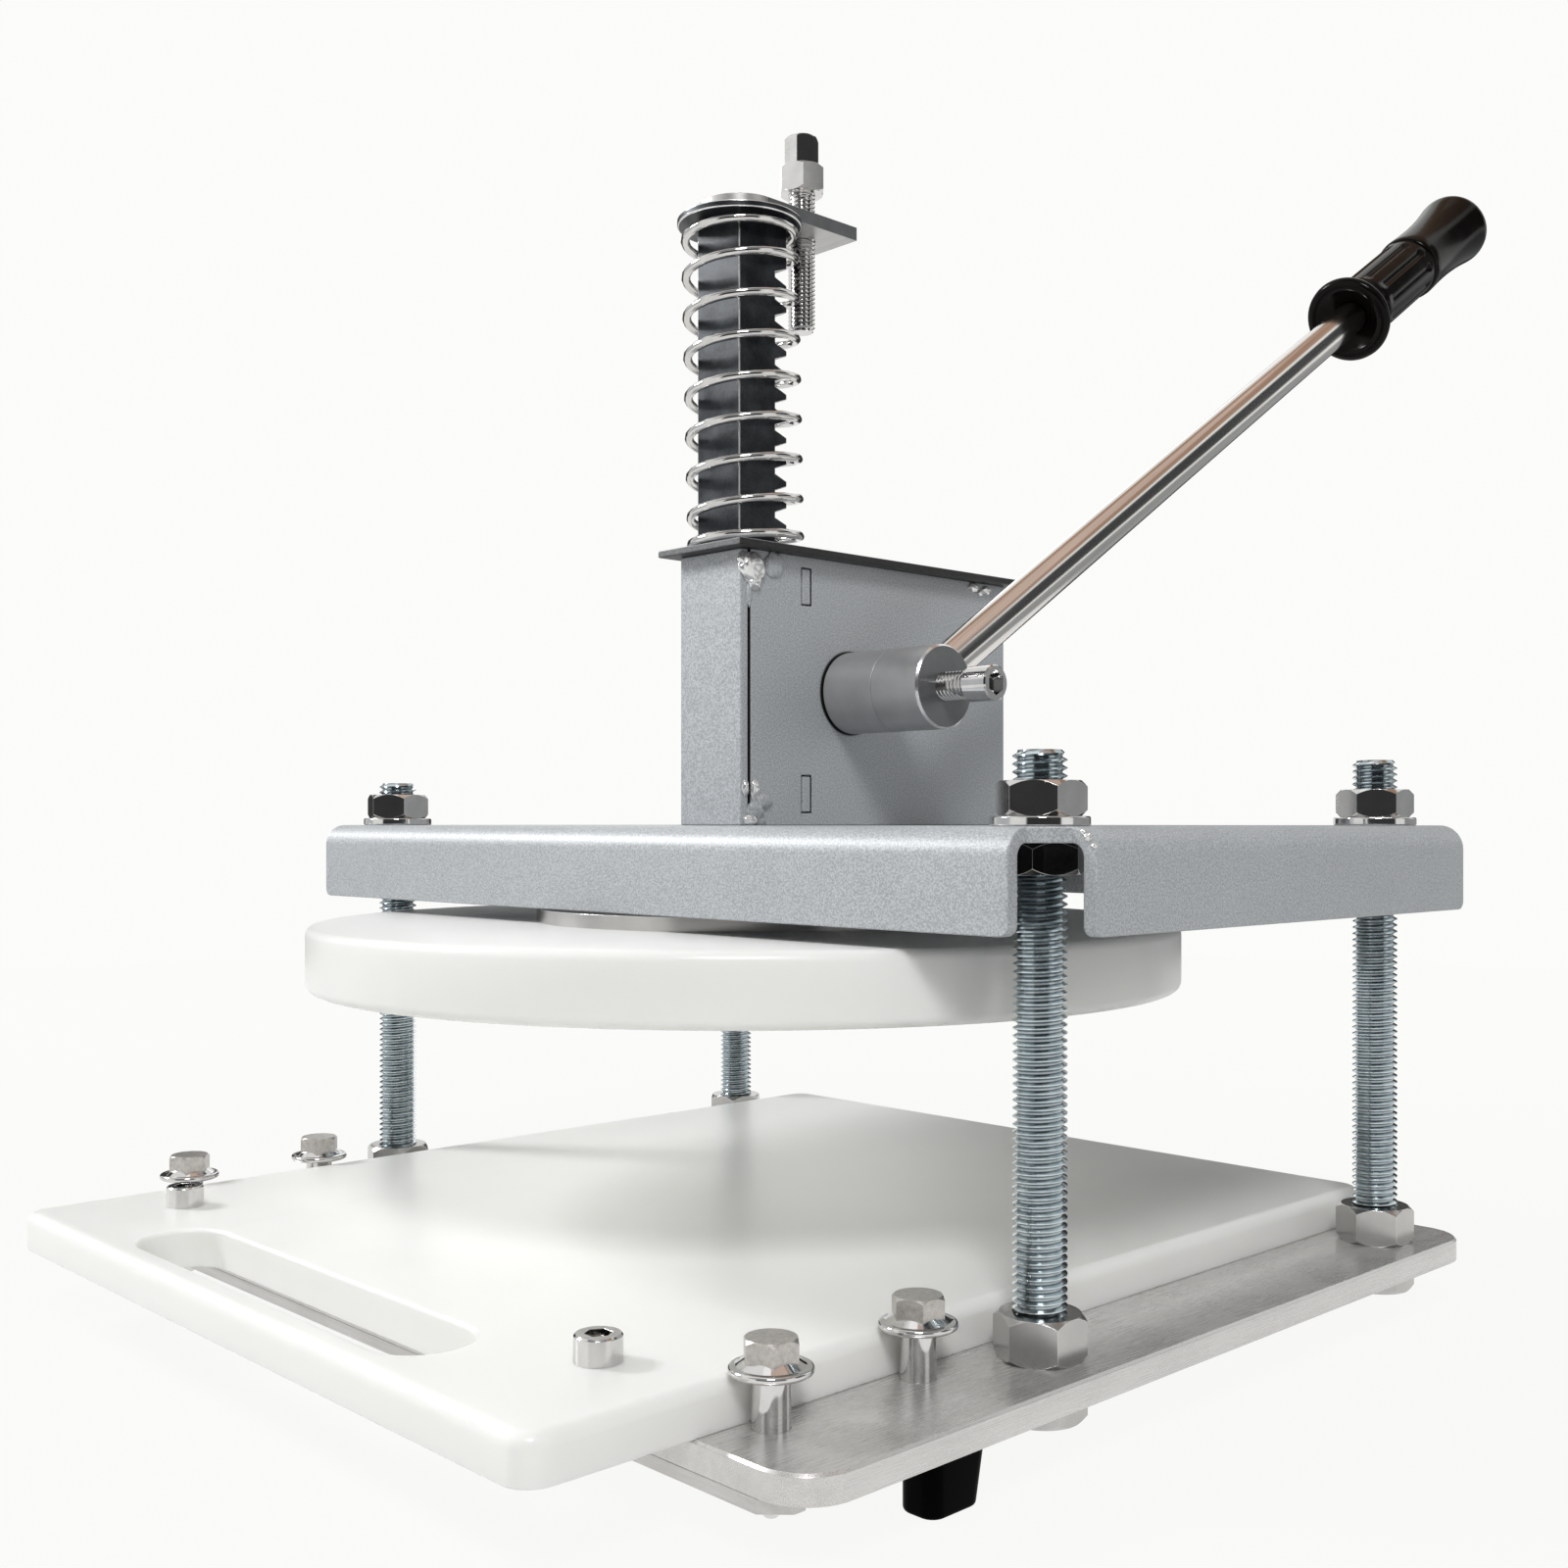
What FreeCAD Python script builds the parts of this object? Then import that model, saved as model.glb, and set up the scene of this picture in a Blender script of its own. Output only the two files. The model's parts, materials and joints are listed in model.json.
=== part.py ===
# Hand-cranked dough press: a ram with a round disc is driven down onto a sliding board by a rack,
# a pinion and a long lever, and a spring round the rack lifts it again.
#
# Millimetres. X runs to the operator's right, Y away from the operator, Z up.
# The origin is on the ram's axis, in the top face of the dough board.
# Everything is shown at rest: ram up, lever back, board pushed in.

import FreeCAD
import Part
import math
import os

Vector = FreeCAD.Vector
X_AXIS = Vector(1, 0, 0)
Y_AXIS = Vector(0, 1, 0)
Z_AXIS = Vector(0, 0, 1)

# Fits
run_gap = 0.05
seat_gap = 0.03
slide_gap = 0.3
stop_gap = 0.3

# Press disc and its flange plate
disc_diameter = 246.0
disc_thick = 17.6
disc_edge_round = 2.5
disc_lift = 61.2
flange_diameter = 120.0
flange_thick = 3.8
flange_screw_circle = 92.0
flange_screw_count = 4

# Threaded rods and their nuts
rod_diameter = 12.0
rod_to_disc = 10.8
rod_spacing_y = 151.2
rod_front_y = -34.8
rod_length = 146.0
rod_below_plate_top = 13.3
rod_end_chamfer = 1.2
rod_nut_flats = 18.0
rod_nut_height = 10.0
rod_thin_nut_height = 7.0
frame_washer_diameter = 22.0
frame_washer_thick = 2.2
frame_nut_height = 7.8

# How far each rod is screwed up from the common height, as right side 1 or left side -1,
# rear 1 or front 0, lift
rod_lifts = [(1, 0, 0.0), (1, 1, 1.5), (-1, 0, -2.9), (-1, 1, -0.7)]

# How far the nuts on each rod are turned, in the same order
rod_nut_turns = [29.0, 30.0, 40.0, 12.0]

# Base plate
plate_thick = 6.0
plate_side_margin = 16.0
plate_front_margin = 87.4
plate_rear_margin = 25.6
plate_corner = 12.0
plate_edge_break = 0.6

# Rubber feet
foot_height = 14.0
foot_width = 10.0
foot_length = 18.0
foot_taper = 3.0
foot_corner = 3.5
foot_edge_round = 1.0
front_foot_inset = 10.3
front_foot_from_front = 49.1
rear_foot_inset = 53.0
rear_foot_from_rear = 40.0
foot_screw_diameter = 4.0
foot_screw_head_diameter = 7.0
foot_screw_head_height = 2.0
foot_screw_socket = 2.5
foot_screw_grip = 6.0
foot_screw_bite = 4.0

# Dough board
board_thick = 10.0
board_depth = 300.0
board_rod_gap = 8.0
board_front_reach = 39.0
board_corner = 6.5
board_edge_round = 3.0
slot_length = 136.0
slot_width = 22.5
slot_from_front = 7.2
slot_edge_round = 1.2
board_screw_diameter = 6.0
board_screw_inset = 25.3
board_screw_length = 15.0

# Guide bolts beside the board
guide_bolt_diameter = 7.8
guide_bolt_gap = 1.0
guide_bolt_lift = 0.6
guide_flange_diameter = 17.0
guide_flange_thick = 1.6
guide_flange_round = 0.7
guide_cone_diameter = 14.0
guide_cone_height = 1.3
guide_hex_flats = 10.3
guide_hex_height = 4.1
guide_hex_turn = 22.0
guide_bolt_end = 11.1
guide_bolt_point = 2.5
guide_bolt_from_front = 15.4
guide_bolt_spacing = 42.4
left_guide_out = 1.5
left_guide_forward = 3.2

# Flat strip under the base plate's front edge, cut off at its corners
strip_length = 284.0
strip_depth = 8.0
strip_thick = 3.0
strip_corner = 5.0

# Top frame of folded sheet
frame_height = 116.0
frame_sheet = 3.5
frame_side_margin = 21.5
frame_end_margin = 21.8
frame_flange = 23.0
frame_bend = 6.5
frame_notch = 13.0
frame_flange_round = 2.5

# Rack
rack_width = 18.0
rack_front = 10.6
rack_tip = 7.9
gear_module = 2.0
pressure_angle = math.radians(20.0)
tooth_play = 0.06
tooth_root_gap = 0.5
rack_plain_top = 14.0
rack_space_count_below_axis = 2

# Pinion and lever shaft
pinion_teeth = 24
pinion_length = 18.6
shaft_height = 39.0
shaft_diameter = 14.0
key_width = 5.0
key_height = 5.0
key_length = 16.0
key_depth = 3.0
bushing_wall = 2.0
bushing_flange_diameter = 22.0
bushing_flange_thick = 1.5
thrust_washer_thick = 1.1
circlip_thick = 1.1
circlip_depth = 0.6
circlip_width = 2.5
circlip_opening = 50.0
shaft_tail = 2.0
boss_length = 19.5
boss_wall = 3.0
boss_root_break = 0.8
hub_length = 17.45
hub_gap = 0.25
hub_edge_break = 0.6

# Gearbox of welded plate
box_sheet = 2.8
box_inner = 20.5
box_height = 77.5
box_rear = 101.7
front_plate_gap = 0.3
box_seam = 0.8
lid_thick = 2.0
lid_side_overhang = 4.7
lid_front_overhang = 4.6
lid_rear_overhang = 4.8
cross_plate_thick = 4.0
cross_plate_height = 11.0
cross_plate_pinion_gap = 4.0
guide_pad_thick = 1.7
guide_pad_edge = 1.0
rack_hole_gap = 0.6
weld_height = 1.0
weld_edge = 0.3
seam_weld_width = 8.4
side_weld_width = 6.6
small_weld_width = 5.4

# Lever
lever_rise = 32.2
lever_diameter = 12.0
lever_from_hub_face = 7.75
lever_socket_depth = 9.5
grip_start = 290.0
grip_barrel_end = 348.0
grip_end = 400.0
grip_collar_diameter = 32.5
grip_collar_thick = 4.0
grip_neck_diameter = 21.5
grip_barrel_diameter = 23.8
grip_ring_diameter = 25.4
grip_flare_diameter = 26.5
grip_end_round = 4.0
grip_wall_at_end = 16.0
grip_flute_count = 18
grip_flute_radius = 1.6
grip_flute_depth = 0.7
clamp_screw_diameter = 8.0
clamp_screw_stand_out = 10.1
clamp_head_diameter = 10.0
clamp_head_height = 8.3
clamp_socket = 6.0

# Return spring and what it pushes on
spring_wire = 2.6
spring_diameter = 34.2
spring_height = 93.0
spring_turns = 8.75
spring_end_climb = 1.0
spring_start = 176.0
spring_end_gap = 0.1
head_offset = 2.4
seat_washer_diameter = 36.0
seat_washer_thick = 2.0
arm_thick = 4.0
arm_width = 24.0
arm_reach = 34.0
top_screw_diameter = 6.0
top_screw_length = 16.0
top_screw_head_diameter = 10.5
top_screw_head_height = 3.3
top_screw_rim_height = 1.2
top_screw_socket = 4.0

# Depth stop
stop_diameter = 8.0
stop_tip_height = 67.7
stop_nut_flats = 12.5
stop_nut_height = 8.2
stop_nut_lift = 9.8
stop_nut_turn = 20.0
stop_head_gap = 0.5
stop_head_flats = 9.0
stop_head_height = 8.3
stop_spring_gap = 1.5

# Socket screws with M6 heads
m6_head_diameter = 10.0
m6_head_height = 5.6
m6_socket = 5.0
screw_point = 0.8
flat_head_ratio = 0.45
flat_socket_ratio = 0.6
rack_screw_diameter = 8.0
rack_screw_length = 22.0
disc_screw_diameter = 5.0
disc_screw_length = 16.0

# Heights
plate_top = -board_thick
plate_bottom = plate_top - plate_thick
floor = plate_bottom - foot_height
disc_bottom = disc_lift
disc_top = disc_bottom + disc_thick
flange_top = disc_top + flange_thick
frame_top = plate_top + frame_height
frame_under = frame_top - frame_sheet
shaft_z = frame_top + shaft_height
box_top = frame_top + box_height
lid_top = box_top + lid_thick
spring_top = lid_top + spring_height
rack_top = spring_top + seat_washer_thick
arm_top = rack_top + arm_thick

# Places across
disc_radius = disc_diameter / 2
rod_radius = rod_diameter / 2
rod_x = disc_radius + rod_to_disc
rod_rear_y = rod_front_y + rod_spacing_y
plate_half = rod_x + plate_side_margin
plate_front = rod_front_y - plate_front_margin
plate_rear = rod_rear_y + plate_rear_margin
board_half = rod_x - rod_radius - board_rod_gap
board_front = plate_front - board_front_reach
board_rear = board_front + board_depth
guide_radius = guide_bolt_diameter / 2
guide_x = board_half + guide_bolt_gap + guide_radius
guide_front_y = plate_front + guide_bolt_from_front
guide_rear_y = guide_front_y + guide_bolt_spacing
frame_half = rod_x + frame_side_margin
frame_front = rod_front_y - frame_end_margin
frame_rear = rod_rear_y + frame_end_margin

# Places in the gearbox
pitch_radius = gear_module * pinion_teeth / 2
tooth_pitch = math.pi * gear_module
pinion_tip_radius = pitch_radius + gear_module
pinion_root_radius = pitch_radius - gear_module - tooth_root_gap
rack_pitch_line = rack_tip - gear_module
shaft_y = rack_pitch_line + pitch_radius
shaft_radius = shaft_diameter / 2
bushing_radius = shaft_radius + bushing_wall
boss_radius = bushing_radius + boss_wall
box_half = box_inner / 2 + box_sheet
front_plate_inner = -rack_front - front_plate_gap
front_plate_outer = front_plate_inner - box_sheet
side_plate_front = front_plate_inner + box_seam
cross_plate_y = rack_tip + slide_gap + guide_pad_thick
boss_end = box_half + boss_length
hub_start = boss_end + hub_gap
hub_end = hub_start + hub_length
lever_x = hub_start + lever_from_hub_face
head_y = -head_offset
stop_y = spring_diameter / 2 + stop_spring_gap + stop_diameter / 2
stop_tip_z = lid_top + stop_tip_height


def block(x_low, x_high, y_low, y_high, z_low, z_high):
    corner = Vector(x_low, y_low, z_low)
    return Part.makeBox(x_high - x_low, y_high - y_low, z_high - z_low, corner)


def post(diameter, x, y, z_low, z_high):
    return Part.makeCylinder(diameter / 2, z_high - z_low, Vector(x, y, z_low), Z_AXIS)


def spindle(diameter, x_low, x_high, y, z):
    return Part.makeCylinder(diameter / 2, x_high - x_low, Vector(x_low, y, z), X_AXIS)


def join(shapes):
    return shapes[0].multiFuse(shapes[1:]).removeSplitter()


def round_edges(shape, radius, wanted):
    edges = [edge for edge in shape.Edges if wanted(edge)]
    return shape.makeFillet(radius, edges)


def break_edges(shape, size, wanted):
    edges = [edge for edge in shape.Edges if wanted(edge)]
    return shape.makeChamfer(size, edges)


def is_upright(edge):
    box = edge.BoundBox
    return box.XLength < 0.01 and box.YLength < 0.01


def lies_at(z):
    return lambda edge: abs(edge.BoundBox.ZMin - z) < 0.01 and abs(edge.BoundBox.ZMax - z) < 0.01


def is_round(edge):
    return isinstance(edge.Curve, Part.Circle)


def rounded_slab(half, y_low, y_high, z_low, z_high, corner):
    slab = block(-half, half, y_low, y_high, z_low, z_high)
    return round_edges(slab, corner, is_upright)


def hex_bar(flats, z_low, z_high):
    corner_radius = flats / math.sqrt(3)
    corners = [
        Vector(corner_radius * math.cos(math.pi * k / 3), corner_radius * math.sin(math.pi * k / 3), z_low)
        for k in range(7)
    ]
    return Part.Face(Part.makePolygon(corners)).extrude(Vector(0, 0, z_high - z_low))


def chamfered_hex(flats, z_low, z_high, both_ends):
    corner_radius = flats / math.sqrt(3)
    chamfer = corner_radius - flats / 2
    limit = post(2 * corner_radius, 0, 0, z_low, z_high)
    ends = [z_low, z_high] if both_ends else [z_high]
    limit = break_edges(limit, chamfer, lambda edge: is_round(edge) and any(lies_at(z)(edge) for z in ends))
    return hex_bar(flats, z_low, z_high).common(limit)


def nut(flats, bore, z_low, z_high):
    body = chamfered_hex(flats, z_low, z_high, True)
    return body.cut(post(bore, 0, 0, z_low, z_high))


def ring(outer, inner, x, y, z_low, z_high):
    return post(outer, x, y, z_low, z_high).cut(post(inner, x, y, z_low, z_high))


def pointed_shank(diameter, length, point):
    shank = post(diameter, 0, 0, -length, 0)
    return break_edges(shank, point, lambda edge: is_round(edge) and lies_at(-length)(edge))


def socket_screw(diameter, length, head_diameter, head_height, socket):
    # The head stands on z = 0 and the shank points down
    head = post(head_diameter, 0, 0, 0, head_height)
    head = break_edges(head, screw_point / 2, lambda edge: is_round(edge) and lies_at(head_height)(edge))
    screw = join([head, pointed_shank(diameter, length, screw_point)])
    return screw.cut(hex_bar(socket, head_height / 2, head_height))


def button_screw(diameter, length, head_diameter, head_height, rim_height, socket):
    # A low head with a round top, on a straight rim
    rise = head_height - rim_height
    dome_radius = (head_diameter ** 2 / 4 + rise ** 2) / (2 * rise)
    dome = Part.makeSphere(dome_radius, Vector(0, 0, head_height - dome_radius))
    head = post(head_diameter, 0, 0, 0, head_height).common(dome)
    screw = join([head, pointed_shank(diameter, length, screw_point)])
    return screw.cut(hex_bar(socket, head_height / 2, head_height))


def flat_screw(diameter, length):
    # A countersunk screw whose head face lies at z = 0, with the shank down
    head_height = diameter * flat_head_ratio
    head_radius = diameter / 2 + head_height
    head = Part.makeCone(diameter / 2, head_radius, head_height, Vector(0, 0, -head_height), Z_AXIS)
    screw = join([head, pointed_shank(diameter, length, screw_point)])
    return screw.cut(hex_bar(diameter * flat_socket_ratio, -head_height, 0))


def flat_screw_hole(diameter, depth):
    bore = diameter + 2 * seat_gap
    head_height = diameter * flat_head_ratio
    cone = Part.makeCone(bore / 2, bore / 2 + head_height, head_height, Vector(0, 0, -head_height), Z_AXIS)
    return join([cone, post(bore, 0, 0, -depth, -head_height / 2)])


def moved(shape, x, y, z):
    copy = shape.copy()
    copy.translate(Vector(x, y, z))
    return copy


def turned(shape, axis, degrees):
    copy = shape.copy()
    copy.rotate(Vector(0, 0, 0), axis, degrees)
    return copy


def rod_places():
    # Each rod's x, y and lift
    return [(side * rod_x, rod_rear_y if rear else rod_front_y, lift) for side, rear, lift in rod_lifts]


def guide_places():
    # The left pair sits a little further out and further forward
    rows = (guide_front_y, guide_rear_y)
    right = [(guide_x, y) for y in rows]
    return right + [(-guide_x - left_guide_out, y - left_guide_forward) for y in rows]


def foot_places():
    front_y = plate_front + front_foot_from_front
    front_x = plate_half - front_foot_inset
    rear_x = plate_half - rear_foot_inset
    rear_y = plate_rear - rear_foot_from_rear
    return [(side * x, y) for side in (1, -1) for x, y in ((front_x, front_y), (rear_x, rear_y))]


def base_plate():
    plate = rounded_slab(plate_half, plate_front, plate_rear, plate_bottom, plate_top, plate_corner)
    plate = break_edges(plate, plate_edge_break, lies_at(plate_top))
    holes = [post(rod_diameter + 2 * run_gap, x, y, plate_bottom, plate_top) for x, y, lift in rod_places()]
    guide_hole = guide_bolt_diameter + 2 * seat_gap
    holes += [post(guide_hole, x, y, plate_bottom, plate_top) for x, y in guide_places()]
    foot_hole = foot_screw_diameter + 2 * seat_gap
    bite_top = plate_bottom + foot_screw_bite
    holes += [post(foot_hole, x, y, plate_bottom, bite_top) for x, y in foot_places()]
    return [plate.cut(join(holes))]


def is_foot_corner(edge):
    # The four edges that run up the block, the rear pair leaning
    box = edge.BoundBox
    return box.XLength < 0.01 and box.ZLength > foot_height / 2


def rubber_foot(x, y):
    # The block narrows towards the floor at its rear end
    half = foot_width / 2
    outline = [
        Vector(-half, -foot_length / 2, floor),
        Vector(-half, foot_length / 2 - foot_taper, floor),
        Vector(-half, foot_length / 2, plate_bottom),
        Vector(-half, -foot_length / 2, plate_bottom),
    ]
    foot = Part.Face(Part.makePolygon(outline + outline[:1])).extrude(Vector(foot_width, 0, 0))
    foot = round_edges(foot, foot_corner, is_foot_corner)
    foot = round_edges(foot, foot_edge_round, lies_at(floor))
    bore = foot_screw_diameter + 2 * seat_gap
    head_bore = foot_screw_head_diameter + 2 * seat_gap
    seat_z = plate_bottom - foot_screw_grip
    foot = foot.cut(post(bore, 0, 0, floor, plate_bottom))
    foot = foot.cut(post(head_bore, 0, 0, floor, seat_z))
    return moved(foot, x, y, 0)


def foot_screw(x, y):
    length = foot_screw_grip + foot_screw_bite - seat_gap
    screw = socket_screw(
        foot_screw_diameter, length, foot_screw_head_diameter, foot_screw_head_height, foot_screw_socket)
    return moved(turned(screw, X_AXIS, 180), x, y, plate_bottom - foot_screw_grip)


def threaded_rod(x, y, lift):
    low = plate_top - rod_below_plate_top + lift
    rod = post(rod_diameter, x, y, low, low + rod_length)
    return break_edges(rod, rod_end_chamfer, is_round)


def rod_nuts(flats, z_low, z_high):
    bore = rod_diameter + 2 * run_gap
    return [moved(turned(nut(flats, bore, z_low, z_high), Z_AXIS, turn), x, y, 0)
            for (x, y, lift), turn in zip(rod_places(), rod_nut_turns)]


def frame_washers():
    bore = rod_diameter + 2 * run_gap
    return [ring(frame_washer_diameter, bore, x, y, frame_top, frame_top + frame_washer_thick)
            for x, y, lift in rod_places()]


def guide_bolt(x, y):
    seat = board_thick + guide_bolt_lift
    length = seat + plate_thick + guide_bolt_end
    flange = post(guide_flange_diameter, 0, 0, 0, guide_flange_thick)
    flange = round_edges(flange, guide_flange_round, is_round)
    cone_top = guide_flange_thick + guide_cone_height
    cone_low = Vector(0, 0, guide_flange_thick)
    cone = Part.makeCone(guide_cone_diameter / 2, guide_hex_flats / 2, guide_cone_height, cone_low, Z_AXIS)
    hex_head = chamfered_hex(guide_hex_flats, 0, cone_top + guide_hex_height, False)
    bolt = join([flange, cone, hex_head, pointed_shank(guide_bolt_diameter, length, guide_bolt_point)])
    return moved(turned(bolt, Z_AXIS, guide_hex_turn), x, y, plate_top + seat)


def front_strip():
    half = strip_length / 2
    front = plate_front
    rear = front + strip_depth
    outline = [(-half + strip_corner, front), (half - strip_corner, front), (half, front + strip_corner),
               (half, rear), (-half, rear), (-half, front + strip_corner)]
    points = [Vector(x, y, plate_bottom - strip_thick) for x, y in outline]
    return [Part.Face(Part.makePolygon(points + points[:1])).extrude(Vector(0, 0, strip_thick))]


def folded_profile(low, high, top, depth):
    # A sheet bent down at both sides, seen end on, as points of width and height
    corner = frame_bend * (1 - math.sqrt(0.5))
    inner_bend = frame_bend - frame_sheet
    inner_corner = inner_bend * (1 - math.sqrt(0.5))
    in_low = low + frame_sheet
    in_high = high - frame_sheet
    under = top - frame_sheet
    bottom = top - depth
    outer = [
        (low, bottom), (low, top - frame_bend), (low + corner, top - corner), (low + frame_bend, top),
        (high - frame_bend, top), (high - corner, top - corner), (high, top - frame_bend), (high, bottom),
    ]
    inner = [
        (in_high, bottom), (in_high, under - inner_bend), (in_high - inner_corner, under - inner_corner),
        (in_high - inner_bend, under), (in_low + inner_bend, under),
        (in_low + inner_corner, under - inner_corner), (in_low, under - inner_bend), (in_low, bottom),
    ]
    return outer, inner


def profile_half(points):
    # Straight, bend, straight, bend, straight
    edges = [
        Part.LineSegment(points[0], points[1]),
        Part.Arc(points[1], points[2], points[3]),
        Part.LineSegment(points[3], points[4]),
        Part.Arc(points[4], points[5], points[6]),
        Part.LineSegment(points[6], points[7]),
    ]
    return [edge.toShape() for edge in edges]


def folded_channel(low, high, make_point, run):
    outer, inner = folded_profile(low, high, frame_top, frame_flange)
    outer = [make_point(across, up) for across, up in outer]
    inner = [make_point(across, up) for across, up in inner]
    joints = [
        Part.LineSegment(outer[-1], inner[0]).toShape(),
        Part.LineSegment(inner[-1], outer[0]).toShape(),
    ]
    wire = Part.Wire(Part.__sortEdges__(profile_half(outer) + profile_half(inner) + joints))
    channel = Part.Face(wire).extrude(run)

    def is_flange_corner(edge):
        box = edge.BoundBox
        low_edge = abs(box.ZMin - (frame_top - frame_flange)) < 0.01 and box.ZLength < 0.01
        return low_edge and abs(max(box.XLength, box.YLength) - frame_sheet) < 0.01

    return round_edges(channel, frame_flange_round, is_flange_corner)


def top_frame():
    side_run = Vector(0, frame_rear - frame_front - 2 * frame_notch, 0)
    sides = folded_channel(
        -frame_half, frame_half, lambda across, up: Vector(across, frame_front + frame_notch, up), side_run)
    end_run = Vector(2 * (frame_half - frame_notch), 0, 0)
    ends = folded_channel(
        frame_front, frame_rear, lambda across, up: Vector(-frame_half + frame_notch, across, up), end_run)
    frame = join([sides, ends] + [corner_web(side, rear) for side in (1, -1) for rear in (True, False)])
    holes = [post(rod_diameter + 2 * run_gap, x, y, frame_under, frame_top) for x, y, lift in rod_places()]
    return [frame.cut(join(holes + [rack_hole(frame_under, frame_top)]))]


def corner_web(side, rear):
    # The top sheet's corner, cut off at 45 degrees between the two bends
    x_out = side * (frame_half - frame_bend)
    x_in = side * (frame_half - frame_notch)
    end = frame_rear if rear else frame_front
    inward = -1 if rear else 1
    y_out = end + inward * frame_bend
    y_in = end + inward * frame_notch
    points = [Vector(x, y, frame_under) for x, y in ((x_in, y_out), (x_out, y_in), (x_in, y_in))]
    return Part.Face(Part.makePolygon(points + points[:1])).extrude(Vector(0, 0, frame_sheet))


def rack_hole(z_low, z_high):
    half = rack_width / 2 + rack_hole_gap
    return block(-half, half, -rack_front - rack_hole_gap, rack_tip + rack_hole_gap, z_low, z_high)


def cross_plate_heights():
    # Each plate keeps clear of the pinion's tip circle
    far_side = shaft_y - cross_plate_y - cross_plate_thick
    reach = math.sqrt(pinion_tip_radius ** 2 - far_side ** 2) + cross_plate_pinion_gap
    return [shaft_z - reach - cross_plate_height, shaft_z + reach]


def cross_plate(z_low):
    y_high = cross_plate_y + cross_plate_thick
    return block(-box_half, box_half, cross_plate_y, y_high, z_low, z_low + cross_plate_height)


def gearbox_side(side):
    inner = side * box_inner / 2
    outer = side * box_half
    plate = block(min(inner, outer), max(inner, outer), side_plate_front, box_rear, frame_top, box_top)
    plate = plate.cut(spindle(2 * (bushing_radius + seat_gap), -box_half, box_half, shaft_y, shaft_z))
    return [plate.cut(join([cross_plate(z) for z in cross_plate_heights()]))]


def gearbox_front():
    return [block(-box_half, box_half, front_plate_outer, front_plate_inner, frame_top, box_top)]


def gearbox_back():
    return [block(-box_inner / 2, box_inner / 2, box_rear - box_sheet, box_rear, frame_top, box_top)]


def gearbox_lid():
    y_low = front_plate_outer - lid_front_overhang
    y_high = box_rear + lid_rear_overhang
    half = box_half + lid_side_overhang
    lid = block(-half, half, y_low, y_high, box_top, lid_top)
    return [lid.cut(rack_hole(box_top, lid_top))]


def guide_pads():
    half = rack_width / 2
    low = cross_plate_y - guide_pad_thick
    pad_height = cross_plate_height - 2 * guide_pad_edge
    heights = [z + guide_pad_edge for z in cross_plate_heights()]
    return [block(-half, half, low, cross_plate_y, z, z + pad_height) for z in heights]


def weld_spot(side, y, z, width):
    # The part of a ball that stands out of the side plate's face
    radius = (width ** 2 / 4 + weld_height ** 2) / (2 * weld_height)
    centre = side * (box_half + weld_height - radius)
    ball = Part.makeSphere(radius, Vector(centre, y, z))
    face = side * box_half
    top = side * (box_half + 2 * weld_height)
    outside = block(min(face, top), max(face, top), y - width, y + width, z - width, z + width)
    return ball.common(outside)


def weld_spots():
    # On the right, tacks on the seam at its top and bottom, one beside the top one, and one at the rear.
    # The left side has only the rear one.
    seam_y = front_plate_inner + box_seam / 2
    seam_reach = seam_weld_width / 2 + weld_edge
    beside_y = seam_y + seam_weld_width / 2 + side_weld_width / 2 + weld_edge
    foot_z = frame_top + small_weld_width + seam_reach
    rear_y = box_rear - 2 * side_weld_width
    spots = [
        (seam_y, box_top - seam_reach, seam_weld_width),
        (beside_y, box_top - side_weld_width / 2 - weld_edge, side_weld_width),
        (seam_y, foot_z, seam_weld_width),
        (seam_y, frame_top + small_weld_width / 2, small_weld_width),
        (rear_y, box_top - small_weld_width / 2 - weld_edge, small_weld_width),
    ]
    return [weld_spot(1, *spot) for spot in spots] + [weld_spot(-1, *spots[-1])]


def bearing_boss():
    boss = spindle(2 * boss_radius, box_half, boss_end, shaft_y, shaft_z)
    is_root = lambda edge: is_round(edge) and edge.BoundBox.XMax < box_half + run_gap
    boss = break_edges(boss, boss_root_break, is_root)
    return [boss.cut(spindle(2 * (bushing_radius + seat_gap), box_half, boss_end, shaft_y, shaft_z))]


def shaft_bushings():
    bore = shaft_diameter + 2 * run_gap
    right = spindle(2 * bushing_radius, box_inner / 2, boss_end, shaft_y, shaft_z)
    right = right.cut(spindle(bore, box_inner / 2, boss_end, shaft_y, shaft_z))
    flange_end = -box_half - bushing_flange_thick
    left = join([
        spindle(2 * bushing_radius, -box_half, -box_inner / 2, shaft_y, shaft_z),
        spindle(bushing_flange_diameter, flange_end, -box_half, shaft_y, shaft_z),
    ])
    left = left.cut(spindle(bore, flange_end, -box_inner / 2, shaft_y, shaft_z))
    return [right, left]


def washer_end():
    return -box_half - bushing_flange_thick - run_gap - thrust_washer_thick


def circlip_end():
    return washer_end() - run_gap - circlip_thick


def key_block(gap):
    half = key_width / 2 + gap
    low = shaft_z + shaft_radius - key_depth - gap
    high = low + key_height + 2 * gap
    return block(-key_length / 2 - gap, key_length / 2 + gap, shaft_y - half, shaft_y + half, low, high)


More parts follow.
